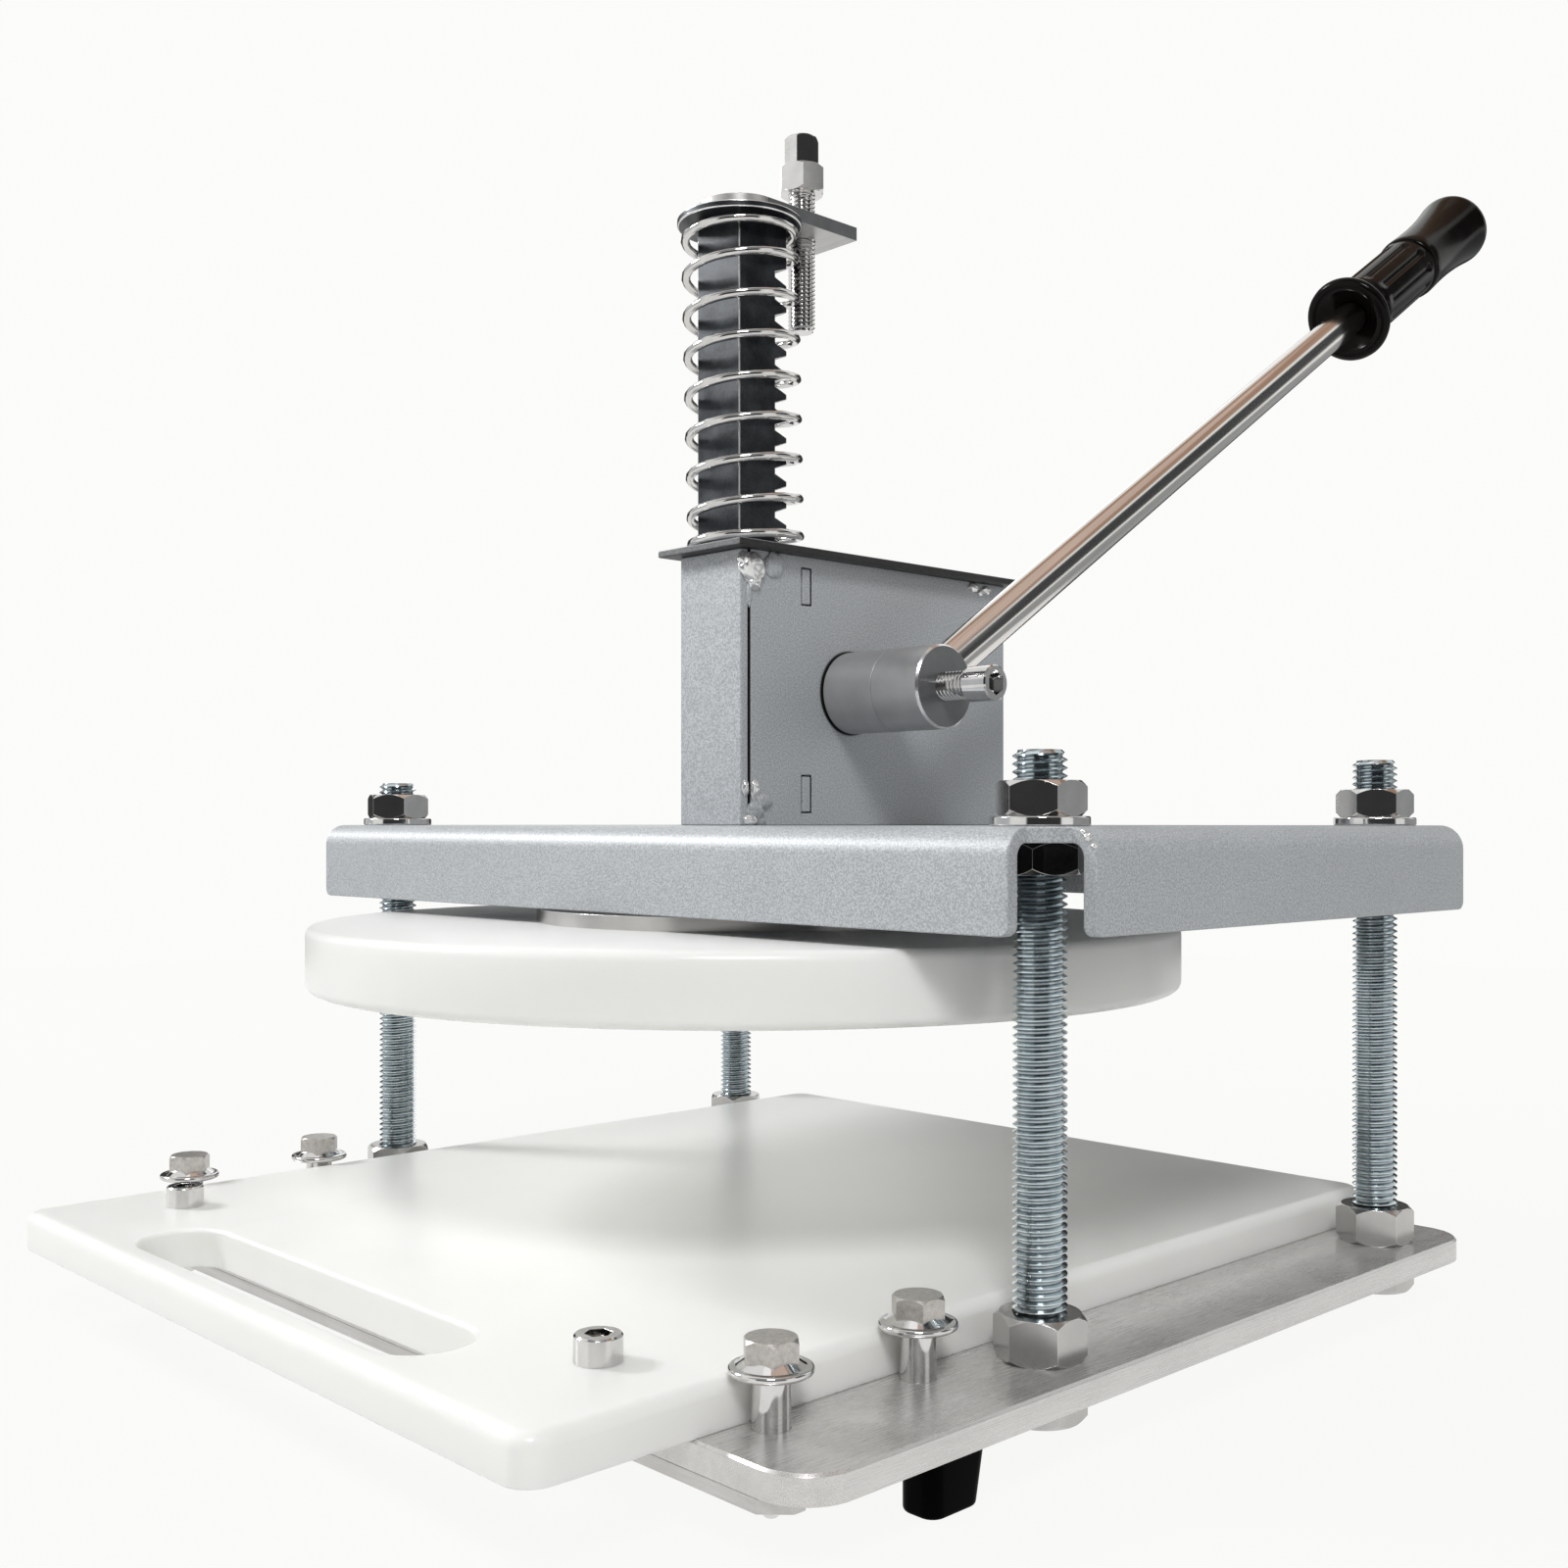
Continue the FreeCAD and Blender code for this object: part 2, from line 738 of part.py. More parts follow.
def lever_shaft():
    # One turned piece: the hub that holds the lever, and the shaft that carries the pinion
    hub = spindle(2 * boss_radius, hub_start, hub_end, shaft_y, shaft_z)
    is_outer_rim = lambda edge: is_round(edge) and edge.BoundBox.XMin > hub_end - run_gap
    hub = break_edges(hub, hub_edge_break, is_outer_rim)
    tail = circlip_end() - shaft_tail
    shaft = join([hub, spindle(shaft_diameter, tail, hub_start, shaft_y, shaft_z)])
    groove_low = circlip_end()
    groove_high = groove_low + circlip_thick
    groove = spindle(shaft_diameter, groove_low, groove_high, shaft_y, shaft_z)
    groove_floor = shaft_diameter - 2 * circlip_depth
    groove = groove.cut(spindle(groove_floor, groove_low, groove_high, shaft_y, shaft_z))
    lever_bore = along_lever(post(lever_diameter + 2 * seat_gap, 0, 0, -lever_socket_depth, boss_radius * 2))
    screw_bore = spindle(clamp_screw_diameter + 2 * seat_gap, lever_x, hub_end, shaft_y, shaft_z)
    return [shaft.cut(join([lever_bore, screw_bore])).cut(groove).cut(key_block(seat_gap))]


def thrust_washer():
    low = washer_end()
    high = low + thrust_washer_thick
    washer = spindle(bushing_flange_diameter, low, high, shaft_y, shaft_z)
    return [washer.cut(spindle(shaft_diameter + 2 * seat_gap, low, high, shaft_y, shaft_z))]


def shaft_circlip():
    low = circlip_end()
    high = low + circlip_thick
    inner = shaft_diameter - 2 * circlip_depth
    clip = spindle(inner + 2 * circlip_width, low, high, shaft_y, shaft_z)
    clip = clip.cut(spindle(inner + 2 * seat_gap, low, high, shaft_y, shaft_z))
    half = shaft_radius * math.sin(math.radians(circlip_opening / 2))
    opening = block(low, high, shaft_y - half, shaft_y + half, shaft_z - 2 * shaft_radius, shaft_z)
    return [clip.cut(opening)]


def involute(angle):
    return math.tan(angle) - angle


def pinion_point(radius, turn):
    return Vector(0, radius * math.cos(turn), radius * math.sin(turn))


def tooth_half_angle(radius):
    # Half the angle that a tooth fills at this radius
    base_radius = pitch_radius * math.cos(pressure_angle)
    at_pitch = (tooth_pitch / 4 - tooth_play) / pitch_radius
    if radius <= base_radius:
        return at_pitch + involute(pressure_angle)
    return at_pitch + involute(pressure_angle) - involute(math.acos(base_radius / radius))


def pinion_tooth(middle):
    base_radius = pitch_radius * math.cos(pressure_angle)
    between = (base_radius + pinion_tip_radius) / 2
    root, base, flank, tip = [
        (radius, tooth_half_angle(radius))
        for radius in (pinion_root_radius, base_radius, between, pinion_tip_radius)
    ]
    rising = [pinion_point(radius, middle - half) for radius, half in (root, base, flank, tip)]
    falling = [pinion_point(radius, middle + half) for radius, half in (tip, flank, base, root)]
    next_root = pinion_point(pinion_root_radius, middle + 2 * math.pi / pinion_teeth - root[1])
    root_middle = pinion_point(pinion_root_radius, middle + math.pi / pinion_teeth)
    edges = [
        Part.LineSegment(rising[0], rising[1]),
        Part.Arc(rising[1], rising[2], rising[3]),
        Part.Arc(rising[3], pinion_point(pinion_tip_radius, middle), falling[0]),
        Part.Arc(falling[0], falling[1], falling[2]),
        Part.LineSegment(falling[2], falling[3]),
        Part.Arc(falling[3], root_middle, next_root),
    ]
    return [edge.toShape() for edge in edges]


def pinion():
    # One tooth points at the rack
    edges = []
    for number in range(pinion_teeth):
        edges += pinion_tooth(math.pi + 2 * math.pi * number / pinion_teeth)
    gear = Part.Face(Part.Wire(edges)).extrude(Vector(pinion_length, 0, 0))
    gear.translate(Vector(-pinion_length / 2, shaft_y, shaft_z))
    gear = gear.cut(spindle(shaft_diameter + 2 * seat_gap, -pinion_length, pinion_length, shaft_y, shaft_z))
    keyway = key_block(seat_gap).fuse(moved(key_block(seat_gap), pinion_length / 2, 0, 0))
    return [gear.cut(keyway)]


def rack():
    # The profile runs up the front, then down the toothed side
    first = -round(rack_space_count_below_axis)
    last = math.floor((rack_top - rack_plain_top - shaft_z) / tooth_pitch)
    slope = math.tan(pressure_angle)
    half_space = tooth_pitch / 4 + tooth_play
    at_tip = half_space + gear_module * slope
    depth = 2 * gear_module + tooth_root_gap
    at_root = half_space - (gear_module + tooth_root_gap) * slope
    outline = [(-rack_front, flange_top), (rack_tip, flange_top)]
    for number in range(first, last + 1):
        middle = shaft_z + number * tooth_pitch
        outline += [(rack_tip, middle - at_tip), (rack_tip - depth, middle - at_root)]
        outline += [(rack_tip - depth, middle + at_root), (rack_tip, middle + at_tip)]
    outline += [(rack_tip, rack_top), (-rack_front, rack_top)]
    points = [Vector(-rack_width / 2, y, z) for y, z in outline]
    bar = Part.Face(Part.makePolygon(points + points[:1])).extrude(Vector(rack_width, 0, 0))
    foot_bore = post(rack_screw_diameter + 2 * seat_gap, 0, 0, flange_top, disc_top + rack_screw_length)
    top_bore = post(top_screw_diameter + 2 * seat_gap, 0, head_y, arm_top - top_screw_length, rack_top)
    return [bar.cut(foot_bore).cut(top_bore)]


def screw_circle():
    radius = flange_screw_circle / 2
    turns = [2 * math.pi * (number + 0.5) / flange_screw_count for number in range(flange_screw_count)]
    return [(radius * math.cos(turn), radius * math.sin(turn)) for turn in turns]


def press_disc():
    disc = post(disc_diameter, 0, 0, disc_bottom, disc_top)
    disc = round_edges(disc, disc_edge_round, is_round)
    depth = disc_screw_length - flange_thick
    bore = disc_screw_diameter + 2 * seat_gap
    return [disc.cut(join([post(bore, x, y, disc_top - depth, disc_top) for x, y in screw_circle()]))]


def disc_flange():
    plate = post(flange_diameter, 0, 0, disc_top, flange_top)
    screw_hole = flat_screw_hole(disc_screw_diameter, flange_thick)
    holes = [moved(screw_hole, x, y, flange_top) for x, y in screw_circle()]
    rack_bore = turned(flat_screw_hole(rack_screw_diameter, flange_thick), X_AXIS, 180)
    rack_bore = moved(rack_bore, 0, 0, disc_top)
    return [plate.cut(join(holes)).cut(rack_bore)]


def disc_screws():
    screw = flat_screw(disc_screw_diameter, disc_screw_length)
    return [moved(screw, x, y, flange_top) for x, y in screw_circle()]


def rack_screw():
    return [moved(turned(flat_screw(rack_screw_diameter, rack_screw_length), X_AXIS, 180), 0, 0, disc_top)]


def seat_washer():
    # The washer lies on the spring, round the rack's top end
    washer = post(seat_washer_diameter, 0, head_y, spring_top, rack_top)
    return [washer.cut(rack_clearance(spring_top, rack_top))]


def rack_clearance(z_low, z_high):
    half = rack_width / 2 + seat_gap
    return block(-half, half, -rack_front - seat_gap, rack_tip + seat_gap, z_low, z_high)


def rack_arm():
    half = arm_width / 2
    arm = join([
        post(arm_width, 0, head_y, rack_top, arm_top),
        block(-half, half, head_y, arm_reach, rack_top, arm_top),
    ])
    bores = [
        post(top_screw_diameter + 2 * seat_gap, 0, head_y, rack_top, arm_top),
        post(stop_diameter + 2 * run_gap, 0, stop_y, rack_top, arm_top),
    ]
    return [arm.cut(join(bores))]


def rack_top_screw():
    head = (top_screw_head_diameter, top_screw_head_height, top_screw_rim_height)
    screw = button_screw(top_screw_diameter, top_screw_length, *head, top_screw_socket)
    return [moved(screw, 0, head_y, arm_top)]


def stop_nut_bottom():
    return arm_top + stop_nut_lift


def depth_stop_nut():
    low = stop_nut_bottom()
    body = nut(stop_nut_flats, stop_diameter + 2 * seat_gap, low, low + stop_nut_height)
    return [moved(turned(body, Z_AXIS, stop_nut_turn), 0, stop_y, 0)]


def depth_stop_screw():
    seat = stop_nut_bottom() + stop_nut_height + stop_head_gap
    head = chamfered_hex(stop_head_flats, 0, stop_head_height, False)
    screw = join([head, pointed_shank(stop_diameter, seat - stop_tip_z, screw_point)])
    return [moved(screw, 0, stop_y, seat)]


def along_lever(shape):
    # Turns what points up onto the lever's line through the hub
    return moved(turned(shape, X_AXIS, lever_rise - 90), lever_x, shaft_y, shaft_z)


def lever_rod():
    rod = post(lever_diameter, 0, 0, -lever_socket_depth + seat_gap, grip_end - grip_wall_at_end - seat_gap)
    rod = break_edges(rod, hub_edge_break, is_round)
    return [along_lever(rod)]


def lever_grip():
    # Half profile as radius and distance from the hub's axis
    collar = grip_collar_diameter / 2
    neck = grip_neck_diameter / 2
    barrel = grip_barrel_diameter / 2
    step = grip_ring_diameter / 2
    flare = grip_flare_diameter / 2
    collar_end = grip_start + grip_collar_thick
    neck_end = collar_end + grip_collar_thick
    ring_end = grip_barrel_end + grip_collar_thick
    outline = [
        (0, grip_start), (collar, grip_start), (collar, collar_end), (neck, neck_end),
        (barrel, neck_end + grip_collar_thick), (barrel, grip_barrel_end), (step, grip_barrel_end),
        (step, ring_end), (barrel, ring_end), (flare, grip_end - grip_end_round), (flare, grip_end),
        (0, grip_end),
    ]
    points = [Vector(radius, 0, along) for radius, along in outline]
    face = Part.Face(Part.makePolygon(points + points[:1]))
    grip = face.revolve(Vector(0, 0, 0), Z_AXIS, 360)
    grip = round_edges(grip, grip_end_round / 2, lambda edge: is_round(edge) and lies_at(grip_end)(edge))
    is_collar_edge = lambda edge: is_round(edge) and edge.Curve.Radius > collar - seat_gap
    grip = round_edges(grip, grip_collar_thick / 4, is_collar_edge)
    grip = grip.cut(join([grip_flute(number) for number in range(grip_flute_count)]))
    bore = post(lever_diameter + 2 * seat_gap, 0, 0, grip_start, grip_end - grip_wall_at_end)
    return [along_lever(grip.cut(bore))]


def grip_flute(number):
    turn = 2 * math.pi * number / grip_flute_count
    out = grip_barrel_diameter / 2 + grip_flute_radius - grip_flute_depth
    low = grip_start + 4 * grip_collar_thick
    high = grip_barrel_end - grip_collar_thick
    return post(2 * grip_flute_radius, out * math.cos(turn), out * math.sin(turn), low, high)


def clamp_screw():
    length = hub_end + clamp_screw_stand_out - lever_x - lever_diameter / 2 - seat_gap
    screw = socket_screw(clamp_screw_diameter, length, clamp_head_diameter, clamp_head_height, clamp_socket)
    return [moved(turned(screw, Y_AXIS, 90), hub_end + clamp_screw_stand_out, shaft_y, shaft_z)]


def dough_board():
    board = rounded_slab(board_half, board_front, board_rear, plate_top, 0, board_corner)
    board = round_edges(board, board_edge_round, lies_at(0))
    slot_front = board_front + slot_from_front
    slot_half = slot_length / 2
    straight_half = slot_half - slot_width / 2
    slot_middle = slot_front + slot_width / 2
    slot = join([
        block(-straight_half, straight_half, slot_front, slot_front + slot_width, plate_top, 0),
        post(slot_width, -straight_half, slot_middle, plate_top, 0),
        post(slot_width, straight_half, slot_middle, plate_top, 0),
    ])
    board = board.cut(slot)

    def is_slot_rim(edge):
        box = edge.BoundBox
        inside = box.YMin > slot_front - 0.1 and box.YMax < slot_front + slot_width + 0.1
        return lies_at(0)(edge) and inside and box.XMax < slot_half + 0.1 and box.XMin > -slot_half - 0.1

    board = round_edges(board, slot_edge_round, is_slot_rim)
    bore = board_screw_diameter + 2 * seat_gap
    return [board.cut(join([post(bore, x, y, plate_top, 0) for x, y in board_screw_places()]))]


def board_screw_places():
    # The shanks reach down in front of the base plate and stop the board there
    x = board_half - board_screw_inset
    y = plate_front - board_screw_diameter / 2 - stop_gap
    return [(side * x, y) for side in (1, -1)]


def board_screws():
    head = (m6_head_diameter, m6_head_height)
    screw = socket_screw(board_screw_diameter, board_screw_length, *head, m6_socket)
    return [moved(screw, x, y, 0) for x, y in board_screw_places()]


def spring_place(turns):
    # Centre line of the wire, this many turns from its lower end, above the lower seat.
    # The first and last turn climb from almost flat to the full rise, and the whole spring leans a little.
    radius = (spring_diameter - spring_wire) / 2
    height = spring_height - spring_wire - 2 * spring_end_gap
    rise = (height - spring_end_climb) / (spring_turns - 1)
    from_end = min(turns, spring_turns - turns, 1)
    ramp = spring_end_climb * from_end + (rise - spring_end_climb) * from_end ** 2 / 2
    middle = (rise - spring_end_climb) / 2
    if turns < 1:
        climb = ramp
        slope = spring_end_climb + (rise - spring_end_climb) * turns
    elif turns > spring_turns - 1:
        climb = height - ramp
        slope = spring_end_climb + (rise - spring_end_climb) * (spring_turns - turns)
    else:
        climb = rise * turns - middle
        slope = rise
    angle = 2 * math.pi * turns + math.radians(spring_start)
    lean = head_y / height
    place = Vector(radius * math.cos(angle), radius * math.sin(angle) + lean * climb, climb)
    around = 2 * math.pi * radius
    along = Vector(-around * math.sin(angle), around * math.cos(angle) + lean * slope, slope)
    return place, along.normalize()


def arc_from(start, control, end, half_turn_cosine):
    middle = (start + end + control * (2 * half_turn_cosine)) * (1 / (2 + 2 * half_turn_cosine))
    return Part.Arc(start, middle, end).toShape()


def biarc(start, along_start, end, along_end):
    # Two arcs that meet smoothly halfway
    chord = end - start
    along = along_start + along_end
    lean = 2 * (1 - along_start.dot(along_end))
    reach = (math.sqrt(chord.dot(along) ** 2 + lean * chord.dot(chord)) - chord.dot(along)) / lean
    first = start + along_start * reach
    second = end - along_end * reach
    meeting = (first + second) * 0.5
    along_meeting = (second - first).normalize()
    first_cosine = math.cos(along_start.getAngle(along_meeting) / 2)
    second_cosine = math.cos(along_meeting.getAngle(along_end) / 2)
    return [arc_from(start, first, meeting, first_cosine), arc_from(meeting, second, end, second_cosine)]


def return_spring():
    # Each quarter turn is a biarc
    quarters = round(4 * spring_turns)
    edges = []
    for number in range(quarters):
        start, along_start = spring_place(spring_turns * number / quarters)
        end, along_end = spring_place(spring_turns * (number + 1) / quarters)
        edges += biarc(start, along_start, end, along_end)
    path = Part.Wire(edges)
    start, along_start = spring_place(0)
    section = Part.Wire(Part.makeCircle(spring_wire / 2, start, along_start))
    tube = path.makePipeShell([section], True, False)
    print_least_gap()
    print("spring volume", tube.Volume, "section times length", section_area(spring_wire) * path.Length)
    return [moved(tube, 0, 0, lid_top + spring_wire / 2 + spring_end_gap)]


def section_area(diameter):
    return math.pi * diameter ** 2 / 4


def print_least_gap():
    # Distance between points half a turn or more apart along the wire, less the wire
    steps_per_turn = 36
    steps = int(spring_turns * steps_per_turn)
    places = [spring_place(number / steps_per_turn)[0] for number in range(steps + 1)]
    nearest = min(
        (places[second] - places[first]).Length
        for first in range(len(places))
        for second in range(first + steps_per_turn // 2, min(first + 2 * steps_per_turn, len(places))))
    print("least gap between turns", nearest - spring_wire)


def save(name, solids):
    shape = solids[0] if len(solids) == 1 else Part.makeCompound(solids)
    for solid in solids:
        if not solid.isValid() or len(solid.Solids) != 1:
            raise ValueError(name + " is not one valid solid")
    shape.exportStep("parts/" + name + ".step")


nodes = {
    "base_plate": base_plate(),
    "rubber_feet": [rubber_foot(x, y) for x, y in foot_places()],
    "foot_screws": [foot_screw(x, y) for x, y in foot_places()],
    "threaded_rods": [threaded_rod(x, y, lift) for x, y, lift in rod_places()],
    "lower_rod_nuts": rod_nuts(rod_nut_flats, plate_bottom - rod_thin_nut_height, plate_bottom),
    "base_rod_nuts": rod_nuts(rod_nut_flats, plate_top, plate_top + rod_nut_height),
    "under_frame_nuts": rod_nuts(rod_nut_flats, frame_under - rod_thin_nut_height, frame_under),
    "frame_washers": frame_washers(),
    "frame_top_nuts": rod_nuts(
        rod_nut_flats, frame_top + frame_washer_thick, frame_top + frame_washer_thick + frame_nut_height),
    "guide_bolts": [guide_bolt(x, y) for x, y in guide_places()],
    "front_strip": front_strip(),
    "top_frame": top_frame(),
    "gearbox_right_plate": gearbox_side(1),
    "gearbox_left_plate": gearbox_side(-1),
    "gearbox_front_plate": gearbox_front(),
    "gearbox_back_plate": gearbox_back(),
    "gearbox_cross_plates": [cross_plate(z) for z in cross_plate_heights()],
    "gearbox_lid": gearbox_lid(),
    "rack_guide_pads": guide_pads(),
    "weld_spots": weld_spots(),
    "bearing_boss": bearing_boss(),
    "shaft_bushings": shaft_bushings(),
    "return_spring": return_spring(),
    "lever_shaft": lever_shaft(),
    "pinion": pinion(),
    "pinion_key": [key_block(0)],
    "thrust_washer": thrust_washer(),
    "shaft_circlip": shaft_circlip(),
    "lever_rod": lever_rod(),
    "lever_grip": lever_grip(),
    "lever_clamp_screw": clamp_screw(),
    "rack": rack(),
    "rack_foot_screw": rack_screw(),
    "disc_flange_plate": disc_flange(),
    "disc_screws": disc_screws(),
    "press_disc": press_disc(),
    "spring_seat_washer": seat_washer(),
    "rack_arm": rack_arm(),
    "rack_top_screw": rack_top_screw(),
    "depth_stop_screw": depth_stop_screw(),
    "depth_stop_nut": depth_stop_nut(),
    "dough_board": dough_board(),
    "board_stop_screws": board_screws(),
}

os.makedirs("parts", exist_ok=True)
for name, solids in nodes.items():
    save(name, solids)
    print(name, len(solids), "solids", round(sum(solid.Volume for solid in solids), 1), "cubic mm")
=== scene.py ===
# %% [markdown]
# # Dressing a hand-cranked dough press
# A ram with a round white disc is driven down onto a sliding board by a lever, a pinion and a rack.
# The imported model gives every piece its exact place. This lesson rounds the edges, cuts the threads,
# winds the spring and gives each surface the finish that the real one has.

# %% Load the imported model
import json
import math

import bmesh
import bpy
from mathutils import Matrix, Vector, noise

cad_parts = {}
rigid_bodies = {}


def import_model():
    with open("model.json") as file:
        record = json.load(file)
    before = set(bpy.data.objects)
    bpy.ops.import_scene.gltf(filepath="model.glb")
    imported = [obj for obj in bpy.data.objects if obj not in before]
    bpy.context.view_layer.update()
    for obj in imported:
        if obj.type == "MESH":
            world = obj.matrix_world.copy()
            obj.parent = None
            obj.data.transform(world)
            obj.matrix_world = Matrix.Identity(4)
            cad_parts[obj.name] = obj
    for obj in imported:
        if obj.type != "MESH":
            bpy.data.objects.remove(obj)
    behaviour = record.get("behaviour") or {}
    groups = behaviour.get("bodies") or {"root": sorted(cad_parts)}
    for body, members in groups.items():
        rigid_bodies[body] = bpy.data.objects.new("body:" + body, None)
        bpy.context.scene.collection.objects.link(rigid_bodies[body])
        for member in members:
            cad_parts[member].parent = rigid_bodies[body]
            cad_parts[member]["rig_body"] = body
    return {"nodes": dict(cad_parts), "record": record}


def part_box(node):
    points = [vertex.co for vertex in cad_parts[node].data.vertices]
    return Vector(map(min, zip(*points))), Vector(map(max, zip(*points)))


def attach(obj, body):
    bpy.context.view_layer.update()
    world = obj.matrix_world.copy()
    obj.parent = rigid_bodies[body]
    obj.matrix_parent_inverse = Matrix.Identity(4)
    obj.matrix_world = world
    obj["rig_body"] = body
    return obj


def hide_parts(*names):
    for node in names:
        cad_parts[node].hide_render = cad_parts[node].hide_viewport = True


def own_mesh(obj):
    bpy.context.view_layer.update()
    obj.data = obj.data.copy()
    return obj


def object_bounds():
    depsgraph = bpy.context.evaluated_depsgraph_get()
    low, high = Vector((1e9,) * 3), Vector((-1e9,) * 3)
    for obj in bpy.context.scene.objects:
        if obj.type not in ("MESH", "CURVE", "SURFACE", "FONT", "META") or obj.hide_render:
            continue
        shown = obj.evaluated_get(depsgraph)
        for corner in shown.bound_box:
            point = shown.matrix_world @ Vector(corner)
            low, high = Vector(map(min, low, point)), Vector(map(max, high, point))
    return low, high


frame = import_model()
nodes = frame["nodes"]
cad_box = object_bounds()


def short(values, places=4):
    """Numbers rounded for printing."""
    return [round(value, places) for value in values]


print(len(nodes), "pieces in the box", short(cad_box[0]), short(cad_box[1]))

# %% [markdown]
# Sizes on a workshop drawing are in millimetres and Blender's are in metres. One factor keeps the
# numbers below readable: 12 * mm is a twelve millimetre rod.

# %% Millimetres
mm = 0.001
print("the press is", short((cad_box[1] - cad_box[0]) / mm, 1), "mm wide, deep and high")

# %% [markdown]
# Four rods or four nuts share one node. To put a thread on each rod, its place is measured from the
# node's own mesh: the loose triangles are merged, and every island of joined corners is one solid.

# %% Find the solids in a node
touching = 0.002 * mm
flat = math.radians(0.5)


def merged_copy(node):
    """A bmesh of a CAD node with its loose triangles joined up and its flat faces made whole."""
    shape = bmesh.new()
    shape.from_mesh(nodes[node].data)
    bmesh.ops.remove_doubles(shape, verts=shape.verts, dist=touching)
    bmesh.ops.dissolve_limit(shape, angle_limit=flat, verts=shape.verts, edges=shape.edges)
    return shape


def solids_in(node):
    """The lowest and highest corner of each solid in a CAD node."""
    shape = merged_copy(node)
    unseen = set(shape.verts)
    boxes = []
    while unseen:
        island = {unseen.pop()}
        newest = list(island)
        while newest:
            near = {edge.other_vert(corner) for corner in newest for edge in corner.link_edges} & unseen
            unseen -= near
            island |= near
            newest = list(near)
        low = Vector([min(corner.co[axis] for corner in island) for axis in range(3)])
        high = Vector([max(corner.co[axis] for corner in island) for axis in range(3)])
        boxes.append((low, high))
    shape.free()
    return boxes


rod_boxes = solids_in("threaded_rods")
rod_middles = [(low + high) / 2 for low, high in rod_boxes]
print("rods at", [short(middle / mm, 1) for middle in rod_middles])

# %% [markdown]
# Shader nodes are easier to read as arithmetic. A Wire is one output socket, and adding or
# multiplying wires adds Math nodes. A Finish is a material with one method that makes any node, and
# it takes every pattern from Object coordinates, so that a finish moves with its piece.

# %% Shader arithmetic
class Wire:
    """An output socket that takes part in arithmetic."""

    def __init__(self, finish, socket):
        self.finish = finish
        self.socket = socket

    def math(self, operation, first, second=0.0):
        """A Math node."""
        return self.finish.node("ShaderNodeMath", {"operation": operation}, {0: first, 1: second})

    def __add__(self, other):
        return self.math("ADD", self, other)

    def __sub__(self, other):
        return self.math("SUBTRACT", self, other)

    def __rsub__(self, other):
        return self.math("SUBTRACT", other, self)

    def __mul__(self, other):
        return self.math("MULTIPLY", self, other)

    def unsigned(self):
        """The value without its sign."""
        return self.math("ABSOLUTE", self)

    def away_from(self, other):
        """The long side of a right triangle with these two short sides."""
        return self.math("SQRT", self * self + other * other)

    def above(self, edge, soft):
        """0 below edge, 1 above it, with a soft step between."""
        values = {"Value": self, "From Min": edge - soft, "From Max": edge + soft}
        return self.finish.node("ShaderNodeMapRange", {"interpolation_type": "SMOOTHSTEP"}, values)

    def below(self, edge, soft):
        """1 below edge, 0 above it."""
        return 1 - self.above(edge, soft)

    def within(self, low, high, soft):
        """1 between two edges, 0 outside them."""
        return self.above(low, soft) * self.below(high, soft)


class Finish:
    """A material written as expressions."""

    def __init__(self, name, library=bpy.data.materials, place="Object"):
        self.material = library.new(name)
        self.material.use_nodes = True
        self.tree = self.material.node_tree
        self.tree.nodes.clear()
        self.place = self.node("ShaderNodeTexCoord", output=place)

    def node(self, kind, settings=None, values=None, output=0):
        """Any node: its settings first, then the values or wires of its sockets."""
        made = self.tree.nodes.new(kind)
        for name, value in (settings or {}).items():
            setattr(made, name, value)
        for name, value in (values or {}).items():
            if isinstance(value, Wire):
                self.tree.links.new(value.socket, made.inputs[name])
            else:
                made.inputs[name].default_value = value
        return Wire(self, made.outputs[output])

    def part(self, axis):
        """One coordinate of the surface, in metres."""
        return self.node("ShaderNodeSeparateXYZ", values={0: self.place}, output=axis)

    def grain(self, size, detail=2.0, stretch=(1, 1, 1), place=None):
        """Noise whose blobs are about this big, drawn out along an axis where stretch is over 1."""
        scale = [1 / (size * along) for along in stretch]
        mapped = self.node("ShaderNodeMapping", values={"Vector": place or self.place, "Scale": scale})
        return self.node("ShaderNodeTexNoise", values={"Vector": mapped, "Scale": 1.0, "Detail": detail})

    def tipped(self, degrees):
        """The place on the surface, turned about the X axis."""
        angle = (math.radians(degrees), 0, 0)
        return self.node("ShaderNodeMapping", values={"Vector": self.place, "Rotation": angle})

    def blend(self, factor, first, second):
        """first where factor is 0, second where it is 1."""
        settings = {"data_type": "RGBA"}
        return self.node("ShaderNodeMix", settings, {0: factor, 6: first, 7: second}, output=2)

    def bump(self, height, depth):
        """A normal that rises by depth where height goes from 0 to 1."""
        values = {"Height": height, "Distance": depth, "Strength": 1.0}
        return self.node("ShaderNodeBump", values=values)

    def shade(self, **values):
        """Close the material with a Principled shader. Names use _ for a space."""
        named = {name.replace("_", " "): value for name, value in values.items()}
        shader = self.node("ShaderNodeBsdfPrincipled", values=named)
        self.node_out(shader)
        return self.material

    def node_out(self, shader, kind="ShaderNodeOutputMaterial"):
        """Lead a shader to the output of the material or of the room."""
        end = self.tree.nodes.new(kind)
        self.tree.links.new(shader.socket, end.inputs["Surface"])


def grey(level, warm=0.0):
    """A grey as a colour, a little warmer or, where warm is negative, bluer."""
    return (level * (1 + warm), level, level * (1 - warm), 1)


print("shader arithmetic is ready")
